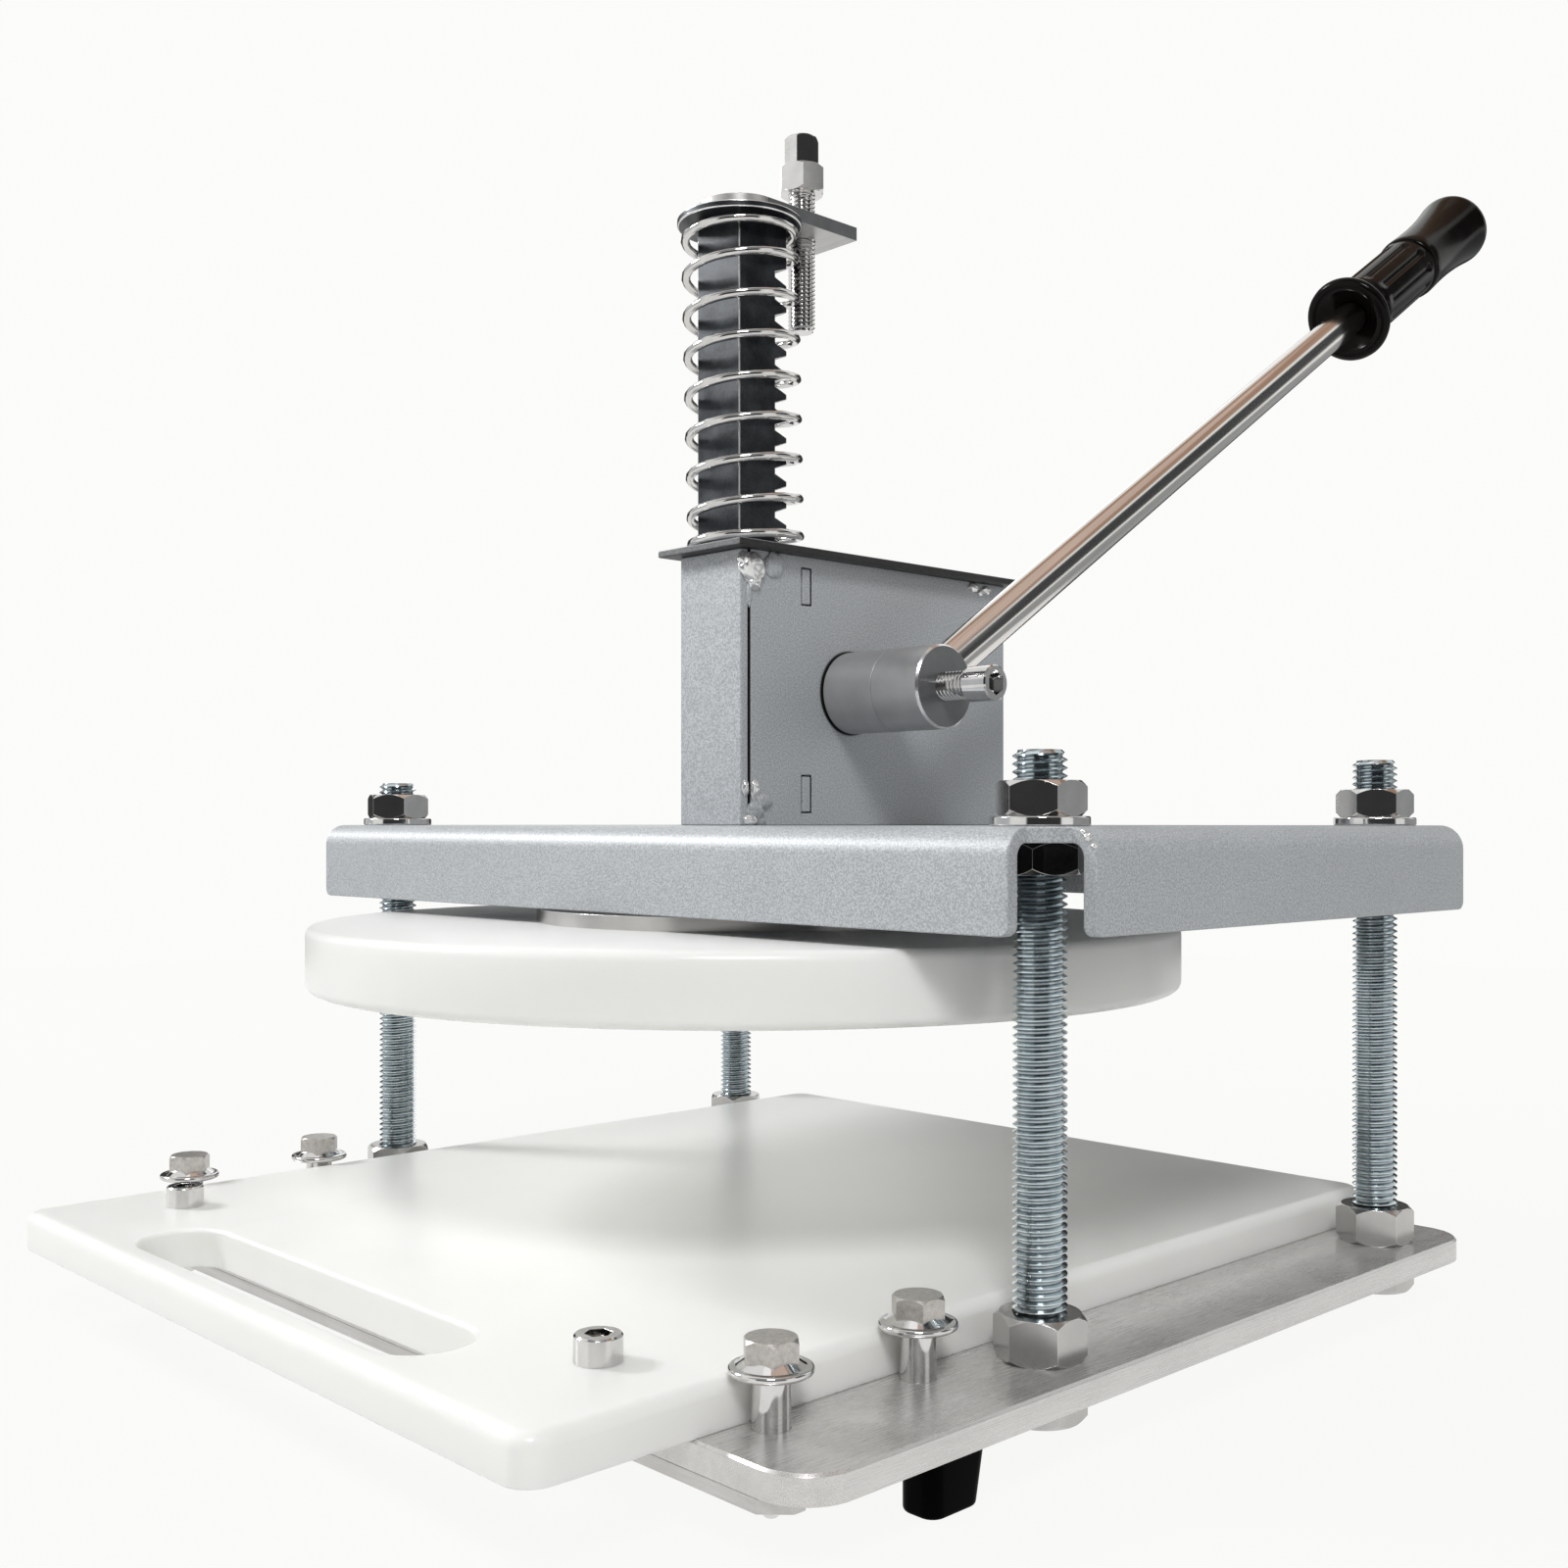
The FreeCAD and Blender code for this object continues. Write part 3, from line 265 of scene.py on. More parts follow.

# %% [markdown]
# The frame and the gearbox wear silver-grey paint with aluminium flakes in it. Seen close it is a
# skin of tiny pebbles, light and dark, under half a millimetre wide. A Voronoi texture would draw
# large hammer marks, so fine noise makes the pebbles and a slow noise the faint clouds. A thin dark
# ring on the side plate round the bearing boss is painted shade, where the boss meets the plate.

# %% Flaked paint
shaft_y = 29.9 * mm
shaft_z = 145 * mm
boss_radius = 12 * mm


def flaked_paint(name, low, high, boss_shade_ring=False):
    """Silver-grey paint, with or without a ring of painted shade round the bearing boss."""
    paint = Finish(name)
    pebbles = paint.grain(0.45 * mm, 2.0)
    waves = paint.grain(1.6 * mm, 2.0)
    clouds = paint.grain(24 * mm, 3.0)
    tone = pebbles.above(0.5, 0.14) * 0.75 + clouds * 0.25
    height = pebbles + waves * 0.5
    color = paint.blend(tone, low, high)
    if boss_shade_ring:
        out = (paint.part(1) - shaft_y).away_from(paint.part(2) - shaft_z)
        # Painted shade: a near-black ring on the side plate where the bearing boss meets it.
        color = paint.blend(out.below(boss_radius + 0.5 * mm, 0.35 * mm), color, grey(0.012))
    return paint.shade(
        Base_Color=color, Metallic=0.18, Roughness=pebbles * 0.16 + 0.38,
        Normal=paint.bump(height, 0.045 * mm), IOR=1.5)


flake_grey = ((0.32, 0.336, 0.352, 1), (0.56, 0.582, 0.602, 1))
painted = flaked_paint("flaked_grey_paint", *flake_grey)
paint_with_boss_shade = flaked_paint("flaked_grey_paint_with_boss_shade", *flake_grey, boss_shade_ring=True)
# Painted shade: near-black paint for the underside and sides of the lid, the inside of the seam and the root
# of the boss.
near_black_shade_paint = flaked_paint("near_black_shade_under_the_lid_and_in_gaps", grey(0.012), grey(0.030))
# Painted shade: darker paint on the lid's front edge.
lid_edge_shade_paint = flaked_paint("darker_paint_for_shade_on_the_lid_edge", grey(0.10, -0.02), grey(0.19, -0.02))
print("made", painted.name, paint_with_boss_shade.name, near_black_shade_paint.name, lid_edge_shade_paint.name)

# %% [markdown]
# Stainless plate is brushed along its length, which draws fine lines in its gloss. Noise stretched
# far along one axis gives the lines, and their bump spreads the highlights across them. The plate is
# ground fairly matt, so a share of its light is scattered as from a pale dull surface.

# %% Brushed steel
def brushed_steel(name, low, high, along, rough, metal):
    """Brushed plate: two greys, how far its lines are drawn out, its least roughness, share of metal."""
    steel = Finish(name)
    lines = steel.grain(0.12 * mm, 2.0, along)
    bands = steel.grain(1.6 * mm, 3.0, along)
    stains = steel.grain(18 * mm, 3.0)
    tone = lines * 0.35 + bands * 0.35 + stains * 0.3
    color = steel.blend(tone.above(0.5, 0.3), low, high)
    return steel.shade(
        Base_Color=color, Metallic=metal, Roughness=lines * 0.14 + stains * 0.10 + rough,
        Normal=steel.bump(lines + bands * 0.6, 0.006 * mm))


plate_steel = brushed_steel(
    "brushed_stainless", grey(0.55, 0.02), grey(0.73, 0.02), along=(1, 60, 1), rough=0.16, metal=0.64)
strip_steel = brushed_steel(
    "brushed_stainless_strip", grey(0.46, 0.02), grey(0.70, 0.02), along=(60, 1, 1), rough=0.20, metal=0.75)
arm_steel = brushed_steel(
    "brushed_arm_steel", grey(0.36, 0.01), grey(0.60, 0.01), along=(30, 1, 1), rough=0.24, metal=0.85)
print("made", plate_steel.name, strip_steel.name, arm_steel.name)

# %% [markdown]
# Bought fasteners come in a few finishes: bluish zinc on the rods, bright nickel or satin steel on
# nuts and bolts, and a black oxide, whose near-black is also painted shade on the nuts under the
# frame. All are plain metal shaders whose roughness is broken up by small clouds. The zinc of the
# rods is darker near the core, as painted shade down in the threads.

# %% Plated and polished metal
rod_radius = 6 * mm


def plated_metal(name, low, high, rough, cloud=3.0, metal=1.0, dents=0.004, patchy=0.05):
    """Metal between two greys. Clouds and dents are in millimetres, patchy is how far gloss varies."""
    plating = Finish(name)
    clouds = plating.grain(cloud * mm, 4.0)
    specks = plating.grain(0.3 * mm, 2.0)
    tone = (clouds * 0.75 + specks * 0.25).above(0.5, 0.4)
    return plating.shade(
        Base_Color=plating.blend(tone, low, high), Metallic=metal, Roughness=clouds * patchy + rough,
        Normal=plating.bump(specks + clouds, dents * mm))


def threaded_zinc(middles, valley):
    """Zinc on four rods in a rectangle, with painted shade where the thread is deeper than the valley radius.
    """
    plating = Finish("zinc_plated_thread")
    clouds = plating.grain(3.0 * mm, 4.0)
    sideways = plating.part(0).unsigned() - max(middle.x for middle in middles)
    rows = sorted({round(middle.y, 5) for middle in middles})
    near, far = [(plating.part(1) - row).unsigned() for row in rows]
    # Painted shade: near-black down in the thread valleys.
    thread_shade = sideways.away_from(near.math("MINIMUM", near, far)).below(valley, 0.35 * mm)
    bright = plating.blend(clouds.above(0.5, 0.3), (0.50, 0.57, 0.60, 1), (0.74, 0.80, 0.83, 1))
    return plating.shade(
        Base_Color=plating.blend(thread_shade * 0.42, bright, (0.045, 0.055, 0.065, 1)), Metallic=1.0,
        Roughness=clouds * 0.05 + 0.13)


zinc = threaded_zinc(rod_middles, rod_radius - 0.65 * mm)
nickel = plated_metal(
    "bright_nickel", grey(0.56, 0.01), grey(0.74, 0.01), rough=0.05, cloud=6.0, dents=0.001)
head_steel = plated_metal(
    "worn_bolt_head", grey(0.34, 0.05), grey(0.62, 0.05), rough=0.24, cloud=1.2, metal=0.9, dents=0.02,
    patchy=0.12)
satin_nut = plated_metal(
    "satin_nut_steel", grey(0.42, 0.02), grey(0.54, 0.02), rough=0.20, cloud=9.0, dents=0.001)
# Near-black oxide, also used as painted shade on the nuts under the frame.
black_oxide_and_shade = plated_metal(
    "black_oxide_and_shade", grey(0.004), grey(0.012), rough=0.06, cloud=5.0, metal=0.3, dents=0.002)
spring_wire = plated_metal(
    "spring_wire", grey(0.52, 0.02), grey(0.70, 0.02), rough=0.07, cloud=6.0, dents=0.001)
bronze = plated_metal("bearing_bronze", (0.46, 0.30, 0.12, 1), (0.62, 0.42, 0.20, 1), rough=0.30)
metals = (zinc, nickel, head_steel, satin_nut, black_oxide_and_shade, spring_wire, bronze)
print("made", [metal.name for metal in metals])

# %% [markdown]
# The rack is a square bar of hot-rolled steel, blackened and oily. Its faces are blue-black with
# paler rubbed patches. Its edges are worn to bare metal, and their bright metal is partly a painted
# highlight.

# %% Blackened bar
def blackened_bar():
    """Blackened steel with rubbed patches."""
    bar = Finish("blackened_bar_steel")
    rubbed = bar.grain(9 * mm, 4.0).above(0.55, 0.20)
    streaks = bar.grain(0.9 * mm, 3.0).above(0.54, 0.20)
    color = bar.blend(rubbed * 0.75 + streaks * 0.25, (0.010, 0.012, 0.015, 1), (0.050, 0.056, 0.064, 1))
    return bar.shade(
        Base_Color=color, Metallic=0.55, Roughness=rubbed * 0.14 + 0.30,
        Normal=bar.bump(rubbed + streaks * 0.2, 0.02 * mm))


rack_steel = blackened_bar()
# Bright edge metal: real wear, and partly a painted highlight on every bevel that gets it.
worn_and_highlight_edge = plated_metal("worn_and_highlight_edge_steel", grey(0.60), grey(0.94), rough=0.22)
print("made", rack_steel.name, worn_and_highlight_edge.name)

# %% [markdown]
# The lever is a drawn bar of stainless steel. Drawing leaves faint lines along the bar, so the noise
# is turned to the bar's slope before it is stretched.

# %% Drawn bar
lever_slope = 32.2


def drawn_bar():
    """Steel with fine lines along the lever, which slopes by this many degrees."""
    bar = Finish("drawn_lever_bar")
    lengthwise = bar.tipped(-lever_slope)
    lines = bar.grain(0.25 * mm, 2.0, (1, 90, 1), lengthwise)
    bands = bar.grain(2.2 * mm, 2.0, (1, 25, 1), lengthwise)
    tone = (lines * 0.5 + bands * 0.5).above(0.5, 0.25)
    return bar.shade(
        Base_Color=bar.blend(tone, grey(0.62, 0.03), grey(0.82, 0.03)), Metallic=1.0,
        Roughness=bands * 0.08 + 0.10, Normal=bar.bump(lines, 0.004 * mm))


lever_steel = drawn_bar()
hub_steel = plated_metal(
    "turned_grey_hub", grey(0.36, -0.01), grey(0.46, -0.01), rough=0.34, cloud=6.0, metal=0.45, dents=0.008)
# Painted shade: a darker copy of the hub steel for the hub's end face and the arm's side.
hub_and_arm_shade_steel = plated_metal(
    "darker_turned_steel_for_shade", grey(0.14, -0.02), grey(0.20, -0.02), rough=0.30, cloud=6.0, metal=0.45, dents=0.008)
print("made", lever_steel.name, hub_steel.name, hub_and_arm_shade_steel.name)

# %% [markdown]
# The disc and the board are milled from white polyethylene. It is not paper white but a little warm
# and waxy: light goes in a short way, so a small subsurface share softens its shadows.

# %% Plastics and rubber
def polyethylene():
    """Milled white plastic that light goes into a little."""
    plastic = Finish("white_polyethylene")
    clouds = plastic.grain(30 * mm, 3.0)
    skin = plastic.grain(0.5 * mm, 2.0)
    color = plastic.blend(clouds, (0.87, 0.87, 0.845, 1), (0.91, 0.91, 0.89, 1))
    return plastic.shade(
        Base_Color=color, Roughness=clouds * 0.10 + 0.26, Normal=plastic.bump(skin, 0.006 * mm), IOR=1.5,
        Subsurface_Weight=0.5, Subsurface_Radius=(1.0, 1.0, 0.9), Subsurface_Scale=5 * mm)


def black_moulding(name, low, high, rough, gloss):
    """Moulded plastic or rubber, with dust and a faint skin."""
    moulding = Finish(name)
    dust = moulding.grain(6 * mm, 4.0)
    skin = moulding.grain(0.4 * mm, 2.0)
    return moulding.shade(
        Base_Color=moulding.blend(dust, low, high), Roughness=dust * 0.12 + rough,
        Normal=moulding.bump(skin, 0.006 * mm), IOR=1.5, Specular_IOR_Level=gloss)


white_plastic = polyethylene()
grip_plastic = black_moulding(
    "black_grip", (0.002, 0.0015, 0.0015, 1), (0.006, 0.005, 0.004, 1), rough=0.08, gloss=0.09)
rubber = black_moulding("black_rubber", grey(0.0005), grey(0.001), rough=0.35, gloss=0.02)
print("made", white_plastic.name, grip_plastic.name, rubber.name)

# %% [markdown]
# Real edges are never knife sharp: a small rounding catches a line of light and makes a plate look
# solid. The CAD meshes stay as they are, so each one is copied, joined up and given a Bevel modifier.
# Modelling every edge by hand would give the same look with far more work.

# %% Round the edges of the CAD pieces
def show(shape, name, body, materials, slot, *replaced):
    """Turn a bmesh into a piece that rides on a body and stands for CAD nodes."""
    mesh = bpy.data.meshes.new(name)
    shape.to_mesh(mesh)
    shape.free()
    piece = bpy.data.objects.new(name, mesh)
    bpy.context.scene.collection.objects.link(piece)
    for material in materials:
        mesh.materials.append(material)
    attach(piece, body)
    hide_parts(*replaced)
    return piece


def smooth_but_crisp(shape, degrees=35):
    """Shade curved faces smooth and leave edges that turn more than this sharp."""
    for face in shape.faces:
        face.smooth = True
    for edge in shape.edges:
        edge.smooth = len(edge.link_faces) == 2 and edge.calc_face_angle() < math.radians(degrees)


slot_of = {part["node"]: part["material_slot"] for part in frame["record"]["subparts"]}


def round_edges(piece, width, material=-1):
    """Add a Bevel modifier. Its new faces keep the finish round them, or take the material's number."""
    bevel = piece.modifiers.new("rounding", "BEVEL")
    bevel.width = width * mm
    bevel.segments = 2
    bevel.harden_normals = True
    bevel.material = material
    return bevel


def rounded(node, material, width, edge_material=None):
    """A copy of a CAD node with rounded edges, in one finish, or with its edges in another."""
    shape = merged_copy(node)
    smooth_but_crisp(shape)
    materials = [material] + ([edge_material] if edge_material else [])
    piece = show(shape, node + "_rounded", nodes[node]["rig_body"], materials, slot_of[node], node)
    bevel = round_edges(piece, width, 1 if edge_material else -1)
    bevel.limit_method = "ANGLE"
    bevel.angle_limit = math.radians(35)
    return piece


plates = {
    "base_plate": (plate_steel, 0.25), "front_strip": (strip_steel, 0.25), "top_frame": (painted, 0.5),
    "gearbox_right_plate": (paint_with_boss_shade, 0.35), "gearbox_left_plate": (painted, 0.35),
    "gearbox_front_plate": (painted, 0.5), "gearbox_back_plate": (painted, 0.35),
    "gearbox_lid": (painted, 0.4), "bearing_boss": (hub_steel, 0.3), "rack_arm": (arm_steel, 0.35),
}
fasteners = {
    "lower_rod_nuts": (satin_nut, 0.25), "frame_washers": (nickel, 0.4), "frame_top_nuts": (nickel, 0.25),
    "guide_bolts": (nickel, 0.2), "foot_screws": (satin_nut, 0.15), "board_stop_screws": (nickel, 0.2),
    "rack_top_screw": (nickel, 0.2), "depth_stop_nut": (nickel, 0.3), "disc_screws": (satin_nut, 0.1),
}
others = {
    "dough_board": (white_plastic, 0.3), "rubber_feet": (rubber, 0.3), "lever_shaft": (hub_steel, 0.2),
    "lever_rod": (lever_steel, 0.2),
}
finishes_and_widths = {**plates, **fasteners, **others}
dressed = {node: rounded(node, *choice) for node, choice in finishes_and_widths.items()}
print("rounded", len(dressed), "nodes")

# %% [markdown]
# Handling and wear rub the dark finish off an edge first, and the bright edge metal is partly a
# painted highlight. The Bevel modifier can give its new faces a material of their own, which draws a
# bright line along every edge of the rack and of the other pieces listed here. The nuts under the
# frame are near-black as painted shade. The nuts under the frame are turned by half a face on their
# rods, to stand as they do in the photo.

# %% Dark pieces with bright edges
# Painted highlight and wear: the bevels of these pieces get bright edge metal.
bright_edged = {
    "rack": (rack_steel, 0.3), "spring_seat_washer": (rack_steel, 0.4),
    # Painted shade: the nuts under the frame are near-black to stand for their shadow.
    "under_frame_nuts": (black_oxide_and_shade, 0.3), "base_rod_nuts": (satin_nut, 0.3),
    "disc_flange_plate": (satin_nut, 0.5),
}
for node, (material, width) in bright_edged.items():
    dressed[node] = rounded(node, material, width, worn_and_highlight_edge)
half_a_face = Matrix.Rotation(math.radians(30), 3, "Z")
for corner in dressed["under_frame_nuts"].data.vertices:
    nearest = min(rod_middles, key=lambda middle: (middle - corner.co).xy.length)
    axis = Vector((nearest.x, nearest.y, 0))
    corner.co = axis + half_a_face @ (corner.co - axis)
print("gave bright edges to", len(bright_edged), "nodes and turned the nuts under the frame by half a face")

# %% [markdown]
# Some surfaces differ from the rest of their piece. Near-black paint on the underside and sides of
# the lid, inside the gearbox's open seam and at the root of the bearing boss is painted shade, and so
# is darker paint on the lid's front edge. The end of the hub and the side of the arm are a darker
# steel as painted shade, inside a polished rim on the hub whose bright metal is partly a painted
# highlight. Spanners have roughened the heads of the guide bolts. A test on the normal and the middle
# of each face of the mesh picks them out.

# %% Finish single faces
def finish_faces(piece, material, belongs):
    """Give another finish to the faces for which the test on normal and middle is true."""
    piece.data.materials.append(material)
    found = [face for face in piece.data.polygons if belongs(face.normal, face.center)]
    for face in found:
        face.material_index = len(piece.data.materials) - 1
    return len(found)


hub_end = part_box("lever_shaft")[1].x
bolt_head_foot = 3.45 * mm
# Painted shade on the lid, seam, arm side, boss root and hub end; the hub's bright rim is partly a painted
# highlight.
face_finishes = (
    ("under the lid", "gearbox_lid", near_black_shade_paint, lambda normal, middle: normal.z < -0.9),
    ("edge of the lid", "gearbox_lid", lid_edge_shade_paint, lambda normal, middle: normal.y < -0.5),
    ("side of the lid", "gearbox_lid", near_black_shade_paint, lambda normal, middle: abs(normal.x) > 0.5),
    ("seam, side plate", "gearbox_right_plate", near_black_shade_paint, lambda normal, middle: normal.y < -0.9),
    ("seam, front plate", "gearbox_front_plate", near_black_shade_paint, lambda normal, middle: normal.y > 0.9),
    ("side of the arm", "rack_arm", hub_and_arm_shade_steel, lambda normal, middle: normal.x > 0.7 and middle.y > 4 * mm),
    ("root of the boss", "bearing_boss", near_black_shade_paint, lambda normal, middle: normal.x < -0.4),
    ("bolt heads", "guide_bolts", head_steel, lambda normal, middle: middle.z > bolt_head_foot),
    ("end of the hub", "lever_shaft", hub_and_arm_shade_steel,
     lambda normal, middle: normal.x > 0.9 and middle.x > hub_end - 0.1 * mm),
    ("rim of the hub", "lever_shaft", worn_and_highlight_edge,
     lambda normal, middle: 0.4 < normal.x < 0.9 and middle.x > hub_end - 0.7 * mm),
)
for title, node, material, belongs in face_finishes:
    print(title, finish_faces(dressed[node], material, belongs), "faces")

# %% [markdown]
# Some pieces are hidden in the gearbox or too small to round. A rounding would never show there, so
# they keep their CAD mesh and only change their material.

# %% Paint the pieces that keep their mesh
kept = {
    "shaft_bushings": bronze, "thrust_washer": bronze, "rack_guide_pads": bronze, "pinion": rack_steel,
    "pinion_key": rack_steel, "shaft_circlip": rack_steel, "rack_foot_screw": black_oxide_and_shade,
}
for node, material in kept.items():
    for material_slot in nodes[node].material_slots:
        material_slot.material = material
print("painted", len(kept), "nodes")

# %% [markdown]
# The tabs of the two cross plates sit in slots that were cut with a little room, and that gap is
# what draws their outline on the side plate. Each bar is a copy of its CAD solid whose corners move
# in by the gap.

# %% Cross plates with room round their tabs
tab_gap = 0.42 * mm
bars = merged_copy("gearbox_cross_plates")
bar_boxes = solids_in("gearbox_cross_plates")
for corner in bars.verts:
    low, high = next(box for box in bar_boxes if box[0].z - mm < corner.co.z < box[1].z + mm)
    middle = (low + high) / 2
    corner.co.y += math.copysign(tab_gap, middle.y - corner.co.y)
    corner.co.z += math.copysign(tab_gap, middle.z - corner.co.z)
smooth_but_crisp(bars)
cross_bars = show(
    bars, "cross_bars", "stand", [painted], slot_of["gearbox_cross_plates"], "gearbox_cross_plates")
round_edges(cross_bars, 0.3)
print("cross plates", len(bar_boxes), "with a gap of", tab_gap / mm, "mm")

# %% [markdown]
# The gearbox was tacked together by hand before it was painted. A tack is a lump with ripples and a
# rough skin, so each starts as a ball, is flattened onto the plate, and every corner is pushed in or
# out by noise. The lumps of one tack overlap, as drops of weld metal do. A row below gives a lump's
# place along Y and Z, its width, its height, how far it stands out, and whether paint covers it. A few
# small drops sit at the open front corner of the frame.

# %% Weld tacks
weld_metal = plated_metal(
    "bare_weld_metal", grey(0.60), grey(0.95), rough=0.16, cloud=2.5, metal=0.7, dents=0.006)


def add_to(shape, extra):
    """Move all that a second bmesh holds into the first."""
    mesh = bpy.data.meshes.new("passing")
    extra.to_mesh(mesh)
    extra.free()
    shape.from_mesh(mesh)
    bpy.data.meshes.remove(mesh)


def tack(shape, x, y, z, width, height, rise, finish):
    """A lump at this place, and how far it stands out to the side, all in millimetres."""
    lump = bmesh.new()
    bmesh.ops.create_icosphere(lump, subdivisions=4, radius=1.0)
    for corner in lump.verts:
        seed = corner.co * 1.7 + Vector((y, z, abs(x))) * 0.37
        corner.co *= 1 + 0.20 * noise.noise(seed) + 0.05 * noise.noise(seed * 3.1)
    bmesh.ops.scale(lump, verts=lump.verts, vec=(rise * mm, width / 2 * mm, height / 2 * mm))
    bmesh.ops.translate(lump, verts=lump.verts, vec=(x * mm, y * mm, z * mm))
    for face in lump.faces:
        face.material_index = finish
        face.smooth = True
    add_to(shape, lump)


side_face = 13.05
bare, covered = 0, 1
upper_front = (
    (-9.6, 178.2, 9.4, 9.0, 2.2, bare), (-12.4, 180.6, 4.6, 4.0, 1.6, bare),
    (-8.8, 174.4, 5.0, 5.0, 1.8, bare), (-1.0, 180.0, 7.4, 7.6, 1.4, covered),
    (-10.6, 170.8, 2.0, 7.0, 0.5, covered))
lower_front = (
    (-8.6, 115.8, 3.4, 6.4, 1.2, bare), (-12.2, 116.6, 2.2, 5.0, 1.0, bare),
    (-5.4, 112.8, 6.4, 4.6, 1.5, covered), (-8.4, 110.2, 6.0, 5.6, 1.7, covered),
    (-10.4, 107.4, 4.6, 3.4, 1.6, bare), (-6.8, 107.2, 5.2, 2.6, 0.8, covered))
upper_rear = (
    (86.4, 182.0, 5.0, 3.0, 1.0, bare), (92.6, 181.6, 4.6, 2.8, 1.1, bare),
    (89.6, 180.4, 3.0, 2.0, 0.8, bare))
left_rear = ((86.6, 181.9, 5.2, 3.0, 1.0, bare), (92.0, 181.7, 4.4, 2.8, 1.0, covered))
drops = ((153.2, -43.6, 103.8, 1.9), (154.5, -43.4, 102.0, 1.3), (151.9, -43.7, 104.9, 1.2))
tacks = bmesh.new()
for lump in upper_front + lower_front + upper_rear:
    tack(tacks, side_face, *lump)
for lump in left_rear:
    tack(tacks, -side_face, *lump)
for x, y, z, size in drops:
    tack(tacks, x, y, z, size, size, size / 2, bare)
show(tacks, "weld_tacks", "stand", [weld_metal, painted], slot_of["weld_spots"], "weld_spots")
print("weld tacks stand on the faces at", side_face, "mm")

# %% [markdown]
# The disc is a lathe job, and so it is made here as on a lathe: half a profile with rounded rims is
# spun round the ram's axis in small steps, which keeps its long side smooth.

# %% Turn the disc
def turned_on_lathe(profile, steps):
    """Spin half a profile, given as distance from the Z axis and height, round that axis."""
    shape = bmesh.new()
    corners = [shape.verts.new((out, 0, up)) for out, up in profile]
    line = [shape.edges.new(pair) for pair in zip(corners, corners[1:])]
    bmesh.ops.spin(
        shape, geom=corners + line, axis=(0, 0, 1), cent=(0, 0, 0), dvec=(0, 0, 0),
        angle=2 * math.pi, steps=steps, use_merge=True)
    bmesh.ops.remove_doubles(shape, verts=shape.verts, dist=0.01 * mm)
    return shape


disc_low, disc_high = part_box("press_disc")
disc_radius = disc_high.x
rim_round = 2.5 * mm
quarter = [math.radians(90 * number / 6) for number in range(7)]
inset_and_rise = [(rim_round * (1 - math.sin(turn)), rim_round * (1 - math.cos(turn))) for turn in quarter]
lower_rim = [(disc_radius - inset, disc_low.z + rise) for inset, rise in inset_and_rise]
upper_rim = [(disc_radius - inset, disc_high.z - rise) for inset, rise in reversed(inset_and_rise)]
underside = [(0, disc_low.z), (disc_radius / 2, disc_low.z)]
top_side = [(disc_radius / 2, disc_high.z), (0, disc_high.z)]
disc = turned_on_lathe(underside + lower_rim + upper_rim + top_side, 160)
bmesh.ops.recalc_face_normals(disc, faces=disc.faces)
smooth_but_crisp(disc, 30)
turned = show(disc, "turned_disc", "ram", [white_plastic], slot_of["press_disc"], "press_disc")
print("disc has", len(turned.data.polygons), "faces and a radius of", round(disc_radius / mm, 1), "mm")

# %% [markdown]
# The grip is a moulding that grew round a turned form: a dished collar, a fluted neck, a shoulder and
# a barrel that flares to its end. Its profile is given in millimetres out from the lever's middle and
# along the lever from the shaft. It is spun like the disc, then each flute is pressed in by moving the
# corners of the neck towards the middle. Last it is leaned over onto the lever's slope.

# %% Turn the grip
flute_count = 11
flute_depth = 0.9
neck_start = 305
neck_end = 345
neck_radius = 11.9
collar = [
    (0, 384), (6.2, 384), (6.2, 295), (7.0, 294.2), (10.2, 292.4), (11.6, 290.8), (12.6, 290.1),
    (14.0, 290.0), (15.3, 290.4), (16.1, 291.4), (16.25, 292.4), (16.0, 293.4), (15.2, 294.3), (13.6, 295.0),
    (12.0, 296.2), (11.1, 298.0), (10.9, 300.0), (11.2, 301.5), (11.8, 303.0)]
neck = [(neck_radius, neck_start - 1 + number) for number in range(neck_end - neck_start + 2)]
barrel = [
    (11.9, 346.6), (11.3, 347.2), (11.3, 347.6), (12.1, 348.0), (12.6, 348.8), (12.7, 350), (12.6, 353),
    (12.4, 358), (12.3, 364), (12.35, 370), (12.6, 376), (13.0, 382), (13.5, 387), (14.0, 391), (14.4, 394),
    (14.5, 395.4), (14.3, 396.6), (13.5, 397.6), (12.2, 398.2), (0, 398.2)]
grip = turned_on_lathe([(out * mm, along * mm) for out, along in collar + neck + barrel], flute_count * 12)
for corner in grip.verts:
    along = corner.co.z / mm
    inside_neck = min(along - neck_start, neck_end - along)
    if inside_neck > 0 and corner.co.xy.length > 10 * mm:
        turn = math.atan2(corner.co.y, corner.co.x)
        pressed = max(0, math.cos(turn * flute_count)) ** 0.6 * min(1, inside_neck / 3)
        corner.co.xy *= 1 - pressed * flute_depth / neck_radius
bmesh.ops.recalc_face_normals(grip, faces=grip.faces)
smooth_but_crisp(grip)
lever_x = sum(corner.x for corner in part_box("lever_grip")) / 2
to_slope = Matrix.Rotation(math.radians(lever_slope - 90), 4, "X")
to_shaft = Matrix.Translation((lever_x, shaft_y, shaft_z))
bmesh.ops.transform(grip, matrix=to_shaft @ to_slope, verts=grip.verts)
turned_grip = show(
    grip, "turned_grip", nodes["lever_grip"]["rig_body"], [grip_plastic], slot_of["lever_grip"], "lever_grip")
print("grip has", len(turned_grip.data.polygons), "faces and", flute_count, "flutes")

# %% [markdown]
# The rods are M12 studding. A thread could be faked with a bump, but its teeth show at the rod's
# edge, so it is real: a zigzag line for the whole length is spun one turn while it climbs one pitch,
# and the last column meets the first one tooth higher. Two planes cut the ends, which are then
# chamfered by drawing in every corner that stands too far out.

